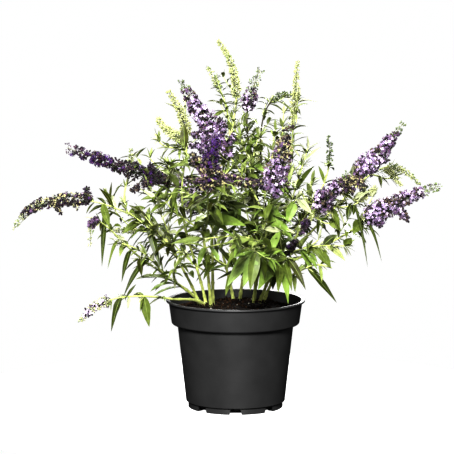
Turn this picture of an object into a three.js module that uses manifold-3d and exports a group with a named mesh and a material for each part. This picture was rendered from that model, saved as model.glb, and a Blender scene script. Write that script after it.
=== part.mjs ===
// A butterfly bush in flower, in a round plastic nursery pot.
//
// Millimetres, +Z up. The origin is the centre of the pot's flat underside, +X is the side
// where the long shoots with lilac flowers reach out, and +Y is the back of the plant.
//
// The plant is worked out from named sizes. Thirteen stems stand in three tufts of one root
// ball. Each leader springs from a stem, most of them as a bare bough, and ends as a mass: a
// leafy shoot with a flower spike. A seeded rule sets the pairs of leaves, each pair at a
// right angle to the one below, and the small side twigs in their axils.

import * as THREE from 'three';
import { mergeVertices } from 'three/addons/utils/BufferGeometryUtils.js';
import Module from 'manifold-3d';

const wasm = await Module();
wasm.setup();

// ---------------------------------------------------------------- driving dimensions

const GAP = 0.3; // between pieces that touch
const MERGE = 0.001; // points nearer than this are one
const SIMPLER = 0.02; // joins are smoothed by no more than this

const POT = {
  height: 172,
  wall: 2.2,
  footRadius: 75.3, // foot ring, on the ground
  footHeight: 9,
  footStep: 1.5,
  wallFoot: 78.5, // wall just above the foot ring
  wallTop: 92.2, // wall just under the band
  bandFoot: 101.7,
  bandTop: 106,
  bandHeight: 38,
  bandCorner: 3,
  lipRadius: 110,
  lipHeight: 3,
  drains: 8,
  drainWidth: 20,
  drainHeight: 8,
  drainDepth: 14,
  sides: 40,
};

const SOIL = { top: 158, sides: 20 };

// Tufts of stems: where each stands, how far its stems are from its middle, and how high
// the soil is heaped round it.
const TUFTS = {
  west: { x: -47, y: 38, spread: 12.5, heap: 3 },
  east: { x: 36, y: 42, spread: 11.5, heap: 8 },
  north: { x: 2, y: 82, spread: 6, heap: 3 },
};
const HEAP = { topRadius: 19, footRadius: 38, sunk: 4, sides: 12 };

const STEM = {
  foot: 3.0, top: 2.3, flare: 0.5, flareHeight: 9, lift: 0.42, buried: 5, sides: 6, steps: 6,
};

// Stems: the tuft, the side of it that the foot stands on, and the fork, as its azimuth and
// reach from the tuft's middle and its height above the ground.
const STEMS = {
  west_tall: ['west', 30, 32, 12, 255],
  west_back: ['west', 95, 129, 48, 262],
  west_low: ['west', 150, 190, 62, 204],
  west_main: ['west', 198, 214, 60, 246],
  west_skirt: ['west', 243, 228, 86, 177],
  west_mid: ['west', 306, 264, 60, 300],
  east_main: ['east', 345, 318, 62, 246],
  east_back: ['east', 45, 54, 52, 240],
  east_tall: ['east', 115, 92, 20, 262],
  east_front: ['east', 235, 276, 68, 252],
  east_leafy: ['east', 290, 300, 44, 212],
  north_east: ['north', 20, 62, 40, 236],
  north_west: ['north', 160, 118, 46, 224],
};

// Leaders: what each springs from, how far along that, and its tip, as azimuth, reach from
// the pot's axis and height; then the heading and pitch of its last stretch, the share of it
// that is a bare bough, its flower spike and the length of that, and the size of its leaves.
// A leader that springs from another leader is a side shoot in the same mass.
const LEADERS = {
  nw_violet: ['west_mid', 1, 189, 267, 418, 188, 26, 0.3, 'violet', 128, 1],
  w_violet: ['west_main', 1, 177, 351, 284, 178, -25, 0.22, 'violet', 141, 1],
  w_upright: ['w_violet', 0.5, 173, 167, 410, 157, 80, 0, 'bud', 32, 0.7],
  w_drooping: ['west_low', 1, 197, 241, 233, 302, -81, 0.2, 'bud', 39, 1],
  w_skirt: ['west_skirt', 1, 204, 265, 154, 191, -31, 0, 'pale', 59, 0.9],
  nw_pale: ['west_back', 1, 151, 123, 499, 164, 62, 0.3, 'pale', 78, 1],
  nw_pale_side: ['nw_pale', 0.45, 140, 164, 453, 148, 65, 0, 'pale', 66, 0.8],
  top_pale: ['west_tall', 1, 119, 57, 579, 172, 67, 0.12, 'pale', 96, 0.8],
  top_bud: ['top_pale', 0.55, 113, 119, 535, 159, 54, 0, 'bud', 47, 0.6],
  top_lilac: ['east_main', 0.88, 205, 94, 523, 172, 55, 0.2, 'lilac', 123, 0.9],
  s_violet: ['west_mid', 0.9, 262, 192, 455, 318, 66, 0.2, 'violet', 93, 1],
  s_faded: ['s_violet', 0.55, 285, 155, 377, 0, 10, 0, 'faded', 71, 0.8],
  s_lilac: ['east_front', 1, 297, 179, 461, 342, 73, 0.15, 'lilac', 113, 1],
  top_mixed: ['east_tall', 1, 33, 37, 538, 0, 78, 0.12, 'bud', 68, 0.8],
  c_leafy: ['top_mixed', 0.06, 222, 34, 326, 215, 15, 0, 'none', 0, 1.1],
  n_nodding: ['east_tall', 0.85, 60, 218, 484, 18, 22, 0.2, 'bud', 69, 0.9],
  ne_pale: ['east_back', 1, 50, 156, 542, 51, 82, 0.15, 'pale', 92, 0.8],
  ne_bud: ['east_back', 0.9, 36, 186, 421, 148, 78, 0.3, 'bud', 48, 1],
  e_pale: ['east_back', 0.8, 19, 312, 340, 13, -42, 0.3, 'bud', 60, 1],
  e_lilac: ['east_main', 1, 2, 263, 454, 10, 44, 0.22, 'lilac', 116, 1],
  e_lilac_side: ['e_lilac', 0.4, 333, 201, 389, 342, 48, 0, 'lilac', 96, 0.9],
  e_low_lilac: ['east_main', 0.8, 353, 321, 358, 0, 27, 0.22, 'slim', 127, 1],
  n_east: ['north_east', 1, 80, 246, 400, 80, 52, 0.3, 'pale', 60, 1],
  n_west: ['north_west', 1, 115, 242, 352, 118, 38, 0.3, 'lilac', 90, 1],
  ne_low: ['north_east', 0.85, 45, 238, 300, 45, 5, 0.25, 'bud', 50, 1],
  nw_low: ['north_west', 0.85, 145, 252, 262, 150, -10, 0.25, 'bud', 50, 1],
  s_leafy: ['east_leafy', 1, 283, 142, 268, 285, -5, 0, 'none', 0, 1.15],
  se_leafy: ['east_leafy', 0.8, 338, 192, 222, 340, -20, 0.2, 'none', 0, 1.1],
  sw_leafy: ['west_low', 0.8, 238, 170, 268, 240, 5, 0.2, 'none', 0, 1],
};

const TURN_TO_TIP = 1.1; // how strongly a side shoot turns to its tip at once
const FORK_WIDTH = 0.9; // tangent of the angle between a stem and a bough on its side
const SEAT_PASSES = 6;

const BOUGH = { foot: 2.1, top: 1.7, sides: 5, steps: 4 };
const SHOOT = { foot: 2.3, top: 1.6, sides: 3, steps: 7 };
const TWIG = {
  foot: 1.7,
  top: 1.3,
  length: 62,
  sides: 3,
  steps: 2,
  angle: 42, // degrees between twig and shoot
  above: 6, // it grows this far above the leaf's root
  every: 2, // nodes between one twig and the next
  rise: 0.12, // its tip bends up by this share of its length
  pairsAt: [0.5, 0.95], // where along it its leaves are
  leafSpread: 45,
  margin: 3,
};

// Flower spikes: the radius of the widest whorl, and how far in the gap between whorls goes.
const SPIKES = {
  lilac: { radius: 16, waist: 0.72, whorl: 17 },
  slim: { radius: 12, waist: 0.72, whorl: 16 },
  violet: { radius: 10.5, waist: 0.7, whorl: 15 },
  pale: { radius: 6, waist: 0.7, whorl: 16 },
  bud: { radius: 5, waist: 0.7, whorl: 16 },
  faded: { radius: 9, waist: 0.7, whorl: 14 },
};
const SPIKE_SIDES = 5;
const SPIKE_TIP = 0.16; // radius at the spike's end, as a share of its widest

const LEAF = {
  length: 108, // low on a shoot
  lengthTop: 62, // just under the flower spike
  slender: 0.25, // width as a share of length
  thick: 1 / 48,
  widest: 0.42, // where it is widest, along its length
  spread: 58, // degrees between leaf and shoot
  droop: 0.9,
  sunk: 0.9, // its root reaches this far past the shoot's axis
  stagger: 1.6, // a pair's roots pass each other inside the shoot
};
const INTO_SPIKE = 0.02; // share of its curve by which a shoot runs on into its spike
const FIRST_NODE = 14; // from a shoot's foot to its first pair of leaves
const NODE_SPACING = 33;
const NODE_SPACING_TOP = 25;
const NODE_TWIST = 18; // degrees either way

const SPACE_MARGIN = 1.0; // foliage stays this far inside its own mass's space
const LIMB_MARGIN = 1.5;
const RIM_MARGIN = 3;
// A leaf that doesn't fit its place grows smaller or steeper: share of its length, and
// degrees off its spread.
const TRIES = [[1, 0], [0.85, 12], [0.85, 28], [0.65, 0], [0.65, 24], [0.48, 10]];

const COLOURS = {
  plastic: [0x1d1e20, 0.5],
  soil: [0x35271d, 0.95],
  stem: [0x8f9a58, 0.7],
  bough: [0x9aab62, 0.7],
  leaf: [0x6f9440, 0.6],
};

// ---------------------------------------------------------------- directions and curves

const UP = new THREE.Vector3(0, 0, 1);
const rad = THREE.MathUtils.degToRad;

function heading(azimuth, pitch) {
  const level = Math.cos(rad(pitch));
  return new THREE.Vector3(
    level * Math.cos(rad(azimuth)), level * Math.sin(rad(azimuth)), Math.sin(rad(pitch)));
}

function polar(azimuth, reach, height, x = 0, y = 0) {
  return new THREE.Vector3(
    x + reach * Math.cos(rad(azimuth)), y + reach * Math.sin(rad(azimuth)), height);
}

// A curve that leaves `start` along `out` and comes to `end` along `onward`.
function arc(start, out, end, onward, handleOut = 0.36, handleIn = 0.4) {
  const chord = start.distanceTo(end);
  return new THREE.CubicBezierCurve3(
    start,
    start.clone().addScaledVector(out, chord * handleOut),
    end.clone().addScaledVector(onward, -chord * handleIn),
    end);
}

// Two directions across a curve at t. The first stays square to the vertical plane that
// the curve's ends lie in, so it doesn't spin along the curve.
function acrossAt(curve, t) {
  const tangent = curve.getTangent(t);
  const chord = curve.v3.clone().sub(curve.v0);
  const level = new THREE.Vector3(-chord.y, chord.x, 0);
  if (level.length() < 0.01 * chord.length()) {
    level.set(0, 1, 0);
  }
  const side = level.addScaledVector(tangent, -level.dot(tangent)).normalize();
  return { tangent, side, over: tangent.clone().cross(side) };
}

// Numbers from 0 to 1 in a fixed order.
class Dice {
  constructor(seed) {
    this.state = (seed * 7919 + 12345) % 2147483647;
  }

  roll() {
    this.state = (this.state * 48271) % 2147483647;
    return this.state / 2147483647;
  }

  between(low, high) {
    return low + (high - low) * this.roll();
  }
}

// ---------------------------------------------------------------- solids

function closed(geometry) {
  geometry.deleteAttribute('normal');
  geometry.deleteAttribute('uv');
  return mergeVertices(geometry, MERGE);
}

function solidOf(geometry) {
  const merged = closed(geometry);
  return new wasm.Manifold(new wasm.Mesh({
    numProp: 3,
    vertProperties: new Float32Array(merged.attributes.position.array),
    triVerts: new Uint32Array(merged.index.array),
  }));
}

function geometryOf(solid) {
  const mesh = solid.getMesh();
  const geometry = new THREE.BufferGeometry();
  geometry.setAttribute('position', new THREE.BufferAttribute(mesh.vertProperties, 3));
  geometry.setIndex(new THREE.BufferAttribute(mesh.triVerts, 1));
  geometry.computeVertexNormals();
  return geometry;
}

function largest(solid) {
  return solid.decompose().reduce((a, b) => (b.volume() > a.volume() ? b : a));
}

// Joins solids, fills any hollow that the joining seals, and drops loose scraps.
// It is smoothed before and after its points are merged, so that no two sheets share an edge.
function fuse(solids) {
  const joined = solids.reduce((whole, piece) => whole.add(piece)).simplify(SIMPLER);
  return largest(solidOf(geometryOf(largest(joined))).simplify(SIMPLER));
}

// A round limb along a curve from t = from to t = to, with its radius given for each t.
function limb(curve, from, to, radiusAt, sides, steps) {
  const geometry = new THREE.CylinderGeometry(1, 1, 1, sides, steps);
  const position = geometry.attributes.position;
  for (let i = 0; i < position.count; i += 1) {
    const t = from + (to - from) * (position.getY(i) + 0.5);
    const radius = radiusAt(t);
    const { side, over } = acrossAt(curve, t);
    const point = curve.getPoint(t)
      .addScaledVector(side, position.getZ(i) * radius)
      .addScaledVector(over, position.getX(i) * radius);
    position.setXYZ(i, point.x, point.y, point.z);
  }
  return geometry;
}

function taper(from, to, foot, top) {
  return (t) => THREE.MathUtils.mapLinear(t, from, to, foot, top);
}

// ---------------------------------------------------------------- pot and soil

function potWallPoints() {
  const bandBottom = POT.height - POT.bandHeight;
  const lipBottom = POT.height - POT.lipHeight;
  return [
    [POT.footRadius, 0],
    [POT.footRadius, POT.footHeight],
    [POT.wallFoot, POT.footHeight + POT.footStep],
    [POT.wallTop, bandBottom],
    [POT.bandFoot - POT.bandCorner, bandBottom],
    [POT.bandFoot - 0.3 * POT.bandCorner, bandBottom + 0.3 * POT.bandCorner],
    [POT.bandFoot, bandBottom + POT.bandCorner],
    [POT.bandTop, lipBottom],
    [POT.lipRadius, lipBottom + 1],
    [POT.lipRadius, POT.height],
  ];
}

function potInnerPoints(clearance) {
  const bandBottom = POT.height - POT.bandHeight;
  const inset = POT.wall + clearance;
  return [
    [POT.bandTop - inset, POT.height],
    [POT.bandTop - inset, POT.height - POT.lipHeight],
    [POT.bandFoot - inset, bandBottom + inset],
    [POT.wallTop - inset, bandBottom + inset],
    [POT.wallFoot - inset, POT.footHeight + POT.footStep + inset],
    [POT.footRadius - inset, POT.footHeight + inset],
    [POT.footRadius - inset, inset],
  ];
}

function lathe(points, sides) {
  const closedOnAxis = [[0, points[0][1]], ...points, [0, points[points.length - 1][1]]];
  const profile = closedOnAxis.map(([r, z]) => new THREE.Vector2(r, z));
  const geometry = new THREE.LatheGeometry(profile, sides);
  return geometry.rotateX(Math.PI / 2);
}

// The drain holes are cut through the foot ring and the edge of the floor.
function makePot() {
  let pot = solidOf(lathe([...potWallPoints(), ...potInnerPoints(0)], POT.sides));
  for (let k = 0; k < POT.drains; k += 1) {
    const drain = new THREE.BoxGeometry(2 * POT.drainDepth, POT.drainWidth, 2 * POT.drainHeight);
    drain.translate(POT.footRadius, 0, 0);
    drain.rotateZ(rad(-90 + (360 * k) / POT.drains));
    pot = pot.subtract(solidOf(drain));
  }
  return geometryOf(pot.simplify(SIMPLER));
}

function makeSoil() {
  const [, bandTop, bandFoot, ...wallPoints] = potInnerPoints(GAP);
  const rim = [
    THREE.MathUtils.mapLinear(SOIL.top, bandTop[1], bandFoot[1], bandTop[0], bandFoot[0]),
    SOIL.top,
  ];
  let soil = solidOf(lathe([...wallPoints.reverse(), bandFoot, rim], SOIL.sides));
  for (const tuft of Object.values(TUFTS)) {
    const height = tuft.heap + HEAP.sunk;
    const heap = new THREE.CylinderGeometry(HEAP.topRadius, HEAP.footRadius, height, HEAP.sides);
    heap.rotateX(Math.PI / 2);
    heap.translate(tuft.x, tuft.y, SOIL.top + tuft.heap - height / 2);
    soil = soil.add(solidOf(heap).intersect(insideBand()));
  }
  return geometryOf(soil.simplify(SIMPLER));
}

// The room that a heap may fill: a disc well clear of the pot's band.
function insideBand() {
  const radius = POT.bandFoot - 2 * POT.wall;
  const disc = new THREE.CylinderGeometry(radius, radius, POT.bandHeight, SOIL.sides);
  disc.rotateX(Math.PI / 2);
  disc.translate(0, 0, SOIL.top);
  return solidOf(disc);
}

// ---------------------------------------------------------------- stems, boughs, leaders

function layOutStems() {
  const stems = {};
  for (const [name, [tuftName, side, azimuth, reach, height]] of Object.entries(STEMS)) {
    const tuft = TUFTS[tuftName];
    const foot = polar(side, tuft.spread, SOIL.top + tuft.heap + GAP, tuft.x, tuft.y);
    const fork = polar(azimuth, reach, height, tuft.x, tuft.y);
    const lean = fork.clone().sub(foot).normalize();
    const out = lean.clone().addScaledVector(UP, STEM.lift).normalize();
    const start = foot.clone().addScaledVector(out, -STEM.buried);
    stems[name] = { curve: arc(start, out, fork, lean), foot };
  }
  return stems;
}

// Where a leader springs from its parent: on its end, or on its side, where `aside` points
// away from the bark.
function springPoint(parent, share, towards, joined) {
  const t = parent.from + (1 - parent.from) * share;
  const { tangent } = acrossAt(parent.curve, t);
  const point = parent.curve.getPoint(t);
  const aim = towards.clone().sub(point).normalize();
  const out = tangent.clone().addScaledVector(aim, TURN_TO_TIP).normalize();
  if (joined) {
    return { point, out };
  }
  if (share === 1) {
    return { point: point.addScaledVector(tangent, GAP), out: tangent };
  }
  const aside = aim.addScaledVector(tangent, -aim.dot(tangent)).normalize();
  const steep = tangent.clone().addScaledVector(aside, FORK_WIDTH).normalize();
  return { point: point.addScaledVector(aside, STEM.foot + BOUGH.foot), out: steep, aside };
}

// Points all round the foot of a bough, on its corners and between them.
function footRing(curve) {
  const { side, over } = acrossAt(curve, 0);
  const corners = Array.from({ length: BOUGH.sides }, (_, i) => {
    const turn = (i * 2 * Math.PI) / BOUGH.sides;
    return curve.v0.clone()
      .addScaledVector(side, Math.cos(turn) * BOUGH.foot)
      .addScaledVector(over, Math.sin(turn) * BOUGH.foot);
  });
  return corners.flatMap((corner, i) => {
    const next = corners[(i + 1) % corners.length];
    return [0, 0.25, 0.5, 0.75].map((share) => corner.clone().lerp(next, share));
  });
}

function leastDistance(points, geometry) {
  const triangle = new THREE.Triangle();
  const nearest = new THREE.Vector3();
  const { index, attributes } = geometry;
  let least = Infinity;
  for (let i = 0; i < index.count; i += 3) {
    triangle.setFromAttributeAndIndices(
      attributes.position, index.getX(i), index.getX(i + 1), index.getX(i + 2),
    );
    for (const point of points) {
      triangle.closestPointToPoint(point, nearest);
      least = Math.min(least, nearest.distanceTo(point));
    }
  }
  return least;
}

// Moves the foot of a bough in to its seat, a gap's width off the facets of its stem.
function seatedArc({ point, out, aside }, tip, onward, bark) {
  const foot = point.clone();
  for (let pass = 0; pass < SEAT_PASSES; pass += 1) {
    const apart = leastDistance(footRing(arc(foot, out, tip, onward)), bark);
    foot.addScaledVector(aside, GAP - apart);
  }
  return arc(foot, out, tip, onward);
}

function layOutLeaders(stems, barks) {
  const leaders = {};
  for (const [index, [name, row]] of Object.entries(LEADERS).entries()) {
    const [from, share, azimuth, reach, height, turn, pitch, bare, spike, length, size] = row;
    const joined = from in leaders;
    const parent = joined
      ? leaders[from]
      : { curve: stems[from].curve, from: 0 };
    const tip = polar(azimuth, reach, height);
    const onward = heading(turn, pitch);
    const spring = springPoint(parent, share, tip, joined);
    const curve = spring.aside
      ? seatedArc(spring, tip, onward, barks[from])
      : arc(spring.point, spring.out, tip, onward);
    const gapShare = bare > 0 ? GAP / curve.getLength() : 0;
    leaders[name] = {
      name, curve, spike, size, bare, index,
      mass: joined ? parent.mass : name,
      from: bare + gapShare,
      spikeFrom: shareBefore(curve, length),
    };
  }
  return leaders;
}

// The t at which the last `length` of a curve begins.
function shareBefore(curve, length) {
  let t = 1;
  let left = length;
  const step = 0.01;
  while (left > 0 && t > step) {
    left -= curve.getPoint(t).distanceTo(curve.getPoint(t - step));
    t -= step;
  }
  return t;
}

// A stem's foot is cut flat, level with the soil that it stands on.
function makeStem({ curve, foot }) {
  const length = curve.getLength();
  const radiusAt = (t) => STEM.foot + (STEM.top - STEM.foot) * t
    + STEM.foot * STEM.flare * Math.exp(-(t * length) / STEM.flareHeight);
  const stem = solidOf(limb(curve, 0, 1, radiusAt, STEM.sides, STEM.steps));
  const below = new THREE.BoxGeometry(40, 40, 40).translate(foot.x, foot.y, foot.z - 20);
  return geometryOf(stem.subtract(solidOf(below)));
}

function makeBough({ curve, bare }) {
  const radiusAt = taper(0, bare, BOUGH.foot, BOUGH.top);
  return closed(limb(curve, 0, bare, radiusAt, BOUGH.sides, BOUGH.steps));
}

// ---------------------------------------------------------------- own space and clearance

const AXIS_SAMPLES = 16;

function sample(curve, from, to, count) {
  const points = [];
  for (let i = 0; i <= count; i += 1) {
    points.push(curve.getPoint(from + ((to - from) * i) / count));
  }
  return points;
}

const segment = new THREE.Line3();
const nearest = new THREE.Vector3();

function distanceTo(points, point) {
  let least = Infinity;
  for (let i = 1; i < points.length; i += 1) {
    segment.set(points[i - 1], points[i]).closestPointToPoint(point, true, nearest);
    least = Math.min(least, nearest.distanceTo(point));
  }
  return least;
}

// A mass's space is every point nearer to its own shoots than to any other mass's, and
// clear of all stems and boughs, of the soil and of the pot.
class Spaces {
  constructor(stems, leaders) {
    this.axes = Object.values(leaders).map((leader) => ({
      mass: leader.mass,
      points: sample(leader.curve, leader.from, 1, AXIS_SAMPLES),
    }));
    this.limbs = Object.values(stems).map(({ curve }) => ({
      points: sample(curve, 0, 1, AXIS_SAMPLES), radius: STEM.foot,
    }));
    for (const { curve, bare } of Object.values(leaders)) {
      if (bare > 0) {
        this.limbs.push({ points: sample(curve, 0, bare, AXIS_SAMPLES), radius: BOUGH.foot });
      }
    }
  }

  holds(mass, point, margin = SPACE_MARGIN) {
    if (point.z < POT.height && Math.hypot(point.x, point.y) < POT.lipRadius + RIM_MARGIN) {
      return false;
    }
    for (const { points, radius } of this.limbs) {
      if (distanceTo(points, point) < radius + LIMB_MARGIN) {
        return false;
      }
    }
    let own = Infinity;
    let other = Infinity;
    for (const axis of this.axes) {
      const distance = distanceTo(axis.points, point);
      if (axis.mass === mass) {
        own = Math.min(own, distance);
      } else {
        other = Math.min(other, distance);
      }
    }
    return own + 2 * margin < other;
  }
}

// ---------------------------------------------------------------- leaves, twigs, spikes

// A leaf's six corners: root and tip, two edges, and the top and bottom of its midrib.
function leafCorners(root, out, lift, length) {
  const side = out.clone().cross(lift).normalize().negate();
  const face = out.clone().cross(side);
  const width = length * LEAF.slender;
  const middle = root.clone().addScaledVector(out, length * LEAF.widest);
  const hang = out.clone().addScaledVector(UP, -LEAF.droop).normalize();
  return {
    root: root.clone().addScaledVector(out, -LEAF.sunk),
    tip: middle.clone().addScaledVector(hang, length * (1 - LEAF.widest)),
    left: middle.clone().addScaledVector(side, width / 2),
    right: middle.clone().addScaledVector(side, -width / 2),
    top: middle.clone().addScaledVector(face, (length * LEAF.thick) / 2),
    bottom: middle.clone().addScaledVector(face, (-length * LEAF.thick) / 2),
  };
}

function leafSolid(corners) {
  const geometry = new THREE.OctahedronGeometry(1);
  const position = geometry.attributes.position;
  for (let i = 0; i < position.count; i += 1) {
    const along = Math.round(position.getX(i));
    const across = Math.round(position.getY(i));
    const above = Math.round(position.getZ(i));
    let corner = above > 0 ? corners.top : corners.bottom;
    if (along !== 0) {
      corner = along > 0 ? corners.tip : corners.root;
    } else if (across !== 0) {
      corner = across > 0 ? corners.left : corners.right;
    }
    position.setXYZ(i, corner.x, corner.y, corner.z);
  }
  return solidOf(geometry);
}

// The points of a leaf that have to be inside its mass's space.
function leafOutline({ root, tip, left, right, top }) {
  const outline = [tip, left, right, top];
  for (const [a, b, share] of [
    [top, tip, 0.33], [top, tip, 0.67], [left, tip, 0.5], [right, tip, 0.5],
    [root, left, 0.6], [root, right, 0.6],
  ]) {
    outline.push(a.clone().lerp(b, share));
  }
  return outline;
}

function growLeaf(mass, spaces, root, { tangent, aside }, spread, length) {
  const lift = tangent.clone().multiplyScalar(0.6).addScaledVector(UP, 0.8).normalize();
  for (const [size, steeper] of TRIES) {
    const out = between(tangent, aside, spread - steeper);
    const corners = leafCorners(root, out, lift, length * size);
    if (leafOutline(corners).every((point) => spaces.holds(mass, point))) {
      return [leafSolid(corners)];
    }
  }
  return [];
}

// The direction `angle` degrees from `first` towards `second`, which is square to it.
function between(first, second, angle) {
  return first.clone().multiplyScalar(Math.cos(rad(angle)))
    .addScaledVector(second, Math.sin(rad(angle)));
}

// The two sides of the shoot that a pair of leaves stands on at t.
function pairWays(curve, t, turn) {
  const { tangent, side, over } = acrossAt(curve, t);
  return [turn, turn + 180].map((angle) => ({ tangent, aside: between(side, over, angle) }));
}

function growTwig(mass, spaces, dice, root, out, size) {
  const length = TWIG.length * size * dice.between(0.75, 1.2);
  const turn = dice.between(0, 90);
  const end = root.clone().addScaledVector(out, length).addScaledVector(UP, length * TWIG.rise);
  const onward = out.clone().addScaledVector(UP, 4 * TWIG.rise).normalize();
  const curve = arc(root, out, end, onward);
  const inside = sample(curve, 0.2, 1, 4)
    .every((point) => spaces.holds(mass, point, TWIG.margin));
  if (!inside) {
    return [];
  }
  const radiusAt = taper(0, 1, TWIG.foot, TWIG.top);
  const solids = [solidOf(limb(curve, 0, 1, radiusAt, TWIG.sides, TWIG.steps))];
  for (const [k, t] of TWIG.pairsAt.entries()) {
    for (const [arm, way] of pairWays(curve, t, turn + 90 * k).entries()) {
      const leafLength = LEAF.lengthTop * size * dice.between(0.8, 1.1);
      const leafRoot = curve.getPoint(t - (arm * LEAF.stagger) / length);
      solids.push(...growLeaf(mass, spaces, leafRoot, way, TWIG.leafSpread, leafLength));
    }
  }
  return solids;
}

function growSpike({ curve, spike, spikeFrom }) {
  const { radius, waist, whorl } = SPIKES[spike];
  const length = curve.getLength() * (1 - spikeFrom);
  const whorls = Math.max(3, Math.round(length / whorl));
  const steps = 2 * whorls;
  const radiusAt = (t) => {
    const share = (t - spikeFrom) / (1 - spikeFrom);
    const ring = Math.round(share * steps);
    const swell = Math.min(1, 0.45 + 4 * share) * (1 - (1 - SPIKE_TIP) * share ** 1.6);
    return radius * swell * (ring % 2 === 1 ? 1 : waist);
  };
  return solidOf(limb(curve, spikeFrom, 1, radiusAt, SPIKE_SIDES, steps));
}

function growShoot(leader, spaces) {
  const { curve, from, spike, spikeFrom, size, mass, index } = leader;
  const dice = new Dice(index + 1);
  const top = spike === 'none' ? 1 : spikeFrom + INTO_SPIKE;
  const radiusAt = taper(from, top, SHOOT.foot, SHOOT.top);
  const solids = [solidOf(limb(curve, from, top, radiusAt, SHOOT.sides, SHOOT.steps))];
  if (spike !== 'none') {
    solids.push(growSpike(leader));
  }
  const length = curve.getLength();
  let t = from + FIRST_NODE / length;
  for (let k = 0; t < top - 0.01; k += 1) {
    const rise = (t - from) / (top - from);
    const turn = 45 + 90 * k + dice.between(-NODE_TWIST, NODE_TWIST);
    const leafLength = THREE.MathUtils.lerp(LEAF.length, LEAF.lengthTop, rise) * size;
    for (const [arm, way] of pairWays(curve, t, turn).entries()) {
      const grown = leafLength * dice.between(0.85, 1.15);
      const root = curve.getPoint(t + (arm * LEAF.stagger) / length);
      solids.push(...growLeaf(mass, spaces, root, way, LEAF.spread, grown));
      if (k % TWIG.every === 1 && arm === Math.floor(k / TWIG.every) % 2) {
        const twigOut = between(way.tangent, way.aside, TWIG.angle);
        const axil = curve.getPoint(t + TWIG.above / length);
        solids.push(...growTwig(mass, spaces, dice, axil, twigOut, size));
      }
    }
    t += THREE.MathUtils.lerp(NODE_SPACING, NODE_SPACING_TOP, rise) / length;
  }
  return solids;
}

// ---------------------------------------------------------------- the whole

const plant = new THREE.Group();

function addPart(name, geometry, [colour, roughness]) {
  const material = new THREE.MeshStandardMaterial({ color: colour, roughness, metalness: 0 });
  const mesh = new THREE.Mesh(geometry, material);
  mesh.name = name;
  plant.add(mesh);
}

const stems = layOutStems();
const barks = Object.fromEntries(
  Object.entries(stems).map(([name, stem]) => [name, makeStem(stem)]),
);
const leaders = layOutLeaders(stems, barks);
const spaces = new Spaces(stems, leaders);

addPart('pot', makePot(), COLOURS.plastic);
addPart('soil', makeSoil(), COLOURS.soil);
for (const [name, bark] of Object.entries(barks)) {
  addPart(`stem_${name}`, bark, COLOURS.stem);
}
const masses = {};
for (const leader of Object.values(leaders)) {
  if (leader.bare > 0) {
    addPart(`bough_${leader.name}`, makeBough(leader), COLOURS.bough);
  }
  masses[leader.mass] = [...(masses[leader.mass] ?? []), ...growShoot(leader, spaces)];
}
for (const [name, solids] of Object.entries(masses)) {
  addPart(`mass_${name}`, geometryOf(fuse(solids)), COLOURS.leaf);
}

export default plant;
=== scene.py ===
# A butterfly bush in flower, in a round plastic nursery pot.
#
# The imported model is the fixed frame. The plant is grown again here by the rule that its
# solids follow, in millimetres, and carried on to finer twigs, leaves and florets. All of
# one kind are joined into a few meshes, in metres.
import math
from collections import namedtuple

import bmesh
import bpy
import numpy as np
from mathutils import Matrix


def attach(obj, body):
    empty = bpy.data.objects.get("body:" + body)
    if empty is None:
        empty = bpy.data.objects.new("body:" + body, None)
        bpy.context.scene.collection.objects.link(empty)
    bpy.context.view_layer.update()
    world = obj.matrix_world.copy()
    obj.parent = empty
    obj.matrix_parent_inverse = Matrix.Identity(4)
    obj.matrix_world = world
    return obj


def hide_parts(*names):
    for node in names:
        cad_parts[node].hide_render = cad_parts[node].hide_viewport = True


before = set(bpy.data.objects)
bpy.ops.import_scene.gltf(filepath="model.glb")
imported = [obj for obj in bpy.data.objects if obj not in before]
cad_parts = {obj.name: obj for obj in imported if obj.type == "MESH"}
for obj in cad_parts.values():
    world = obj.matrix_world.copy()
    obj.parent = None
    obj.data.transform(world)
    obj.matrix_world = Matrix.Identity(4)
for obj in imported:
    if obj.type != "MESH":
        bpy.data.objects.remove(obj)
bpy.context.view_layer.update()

MM = 0.001

# ---------------------------------------------------------------- driving dimensions, mm

POT = {
    "height": 172, "wall": 2.2, "foot_radius": 75.3, "foot_height": 9, "foot_step": 1.5,
    "wall_foot": 78.5, "wall_top": 92.2, "band_foot": 101.7, "band_top": 106,
    "band_height": 38, "band_corner": 3, "lip_radius": 110, "lip_height": 3, "lip_edge": 1.4,
    "soft_edge": 0.6, "recess": 0.8, "foot_ring": 10,
    "drains": 8, "drain_width": 20, "drain_height": 8, "drain_depth": 14, "drain_top": 0.8,
}
SOIL_TOP = 158
GAP = 0.3

TUFTS = {
    "west": {"x": -47, "y": 38, "spread": 12.5, "heap": 3},
    "east": {"x": 36, "y": 42, "spread": 11.5, "heap": 8},
    "north": {"x": 2, "y": 82, "spread": 6, "heap": 3},
}
STEM = {"radius": 3.0, "lift": 0.42, "buried": 5}

# Stems: the tuft, the side of it that the foot stands on, and the fork, as its azimuth and
# reach from the tuft's middle and its height above the ground.
STEMS = {
    "west_tall": ("west", 30, 32, 12, 255),
    "west_back": ("west", 95, 129, 48, 262),
    "west_low": ("west", 150, 190, 62, 204),
    "west_main": ("west", 198, 214, 60, 246),
    "west_skirt": ("west", 243, 228, 86, 177),
    "west_mid": ("west", 306, 264, 60, 300),
    "east_main": ("east", 345, 318, 62, 246),
    "east_back": ("east", 45, 54, 52, 240),
    "east_tall": ("east", 115, 92, 20, 262),
    "east_front": ("east", 235, 276, 68, 252),
    "east_leafy": ("east", 290, 300, 44, 212),
    "north_east": ("north", 20, 62, 40, 236),
    "north_west": ("north", 160, 118, 46, 224),
}

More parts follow.
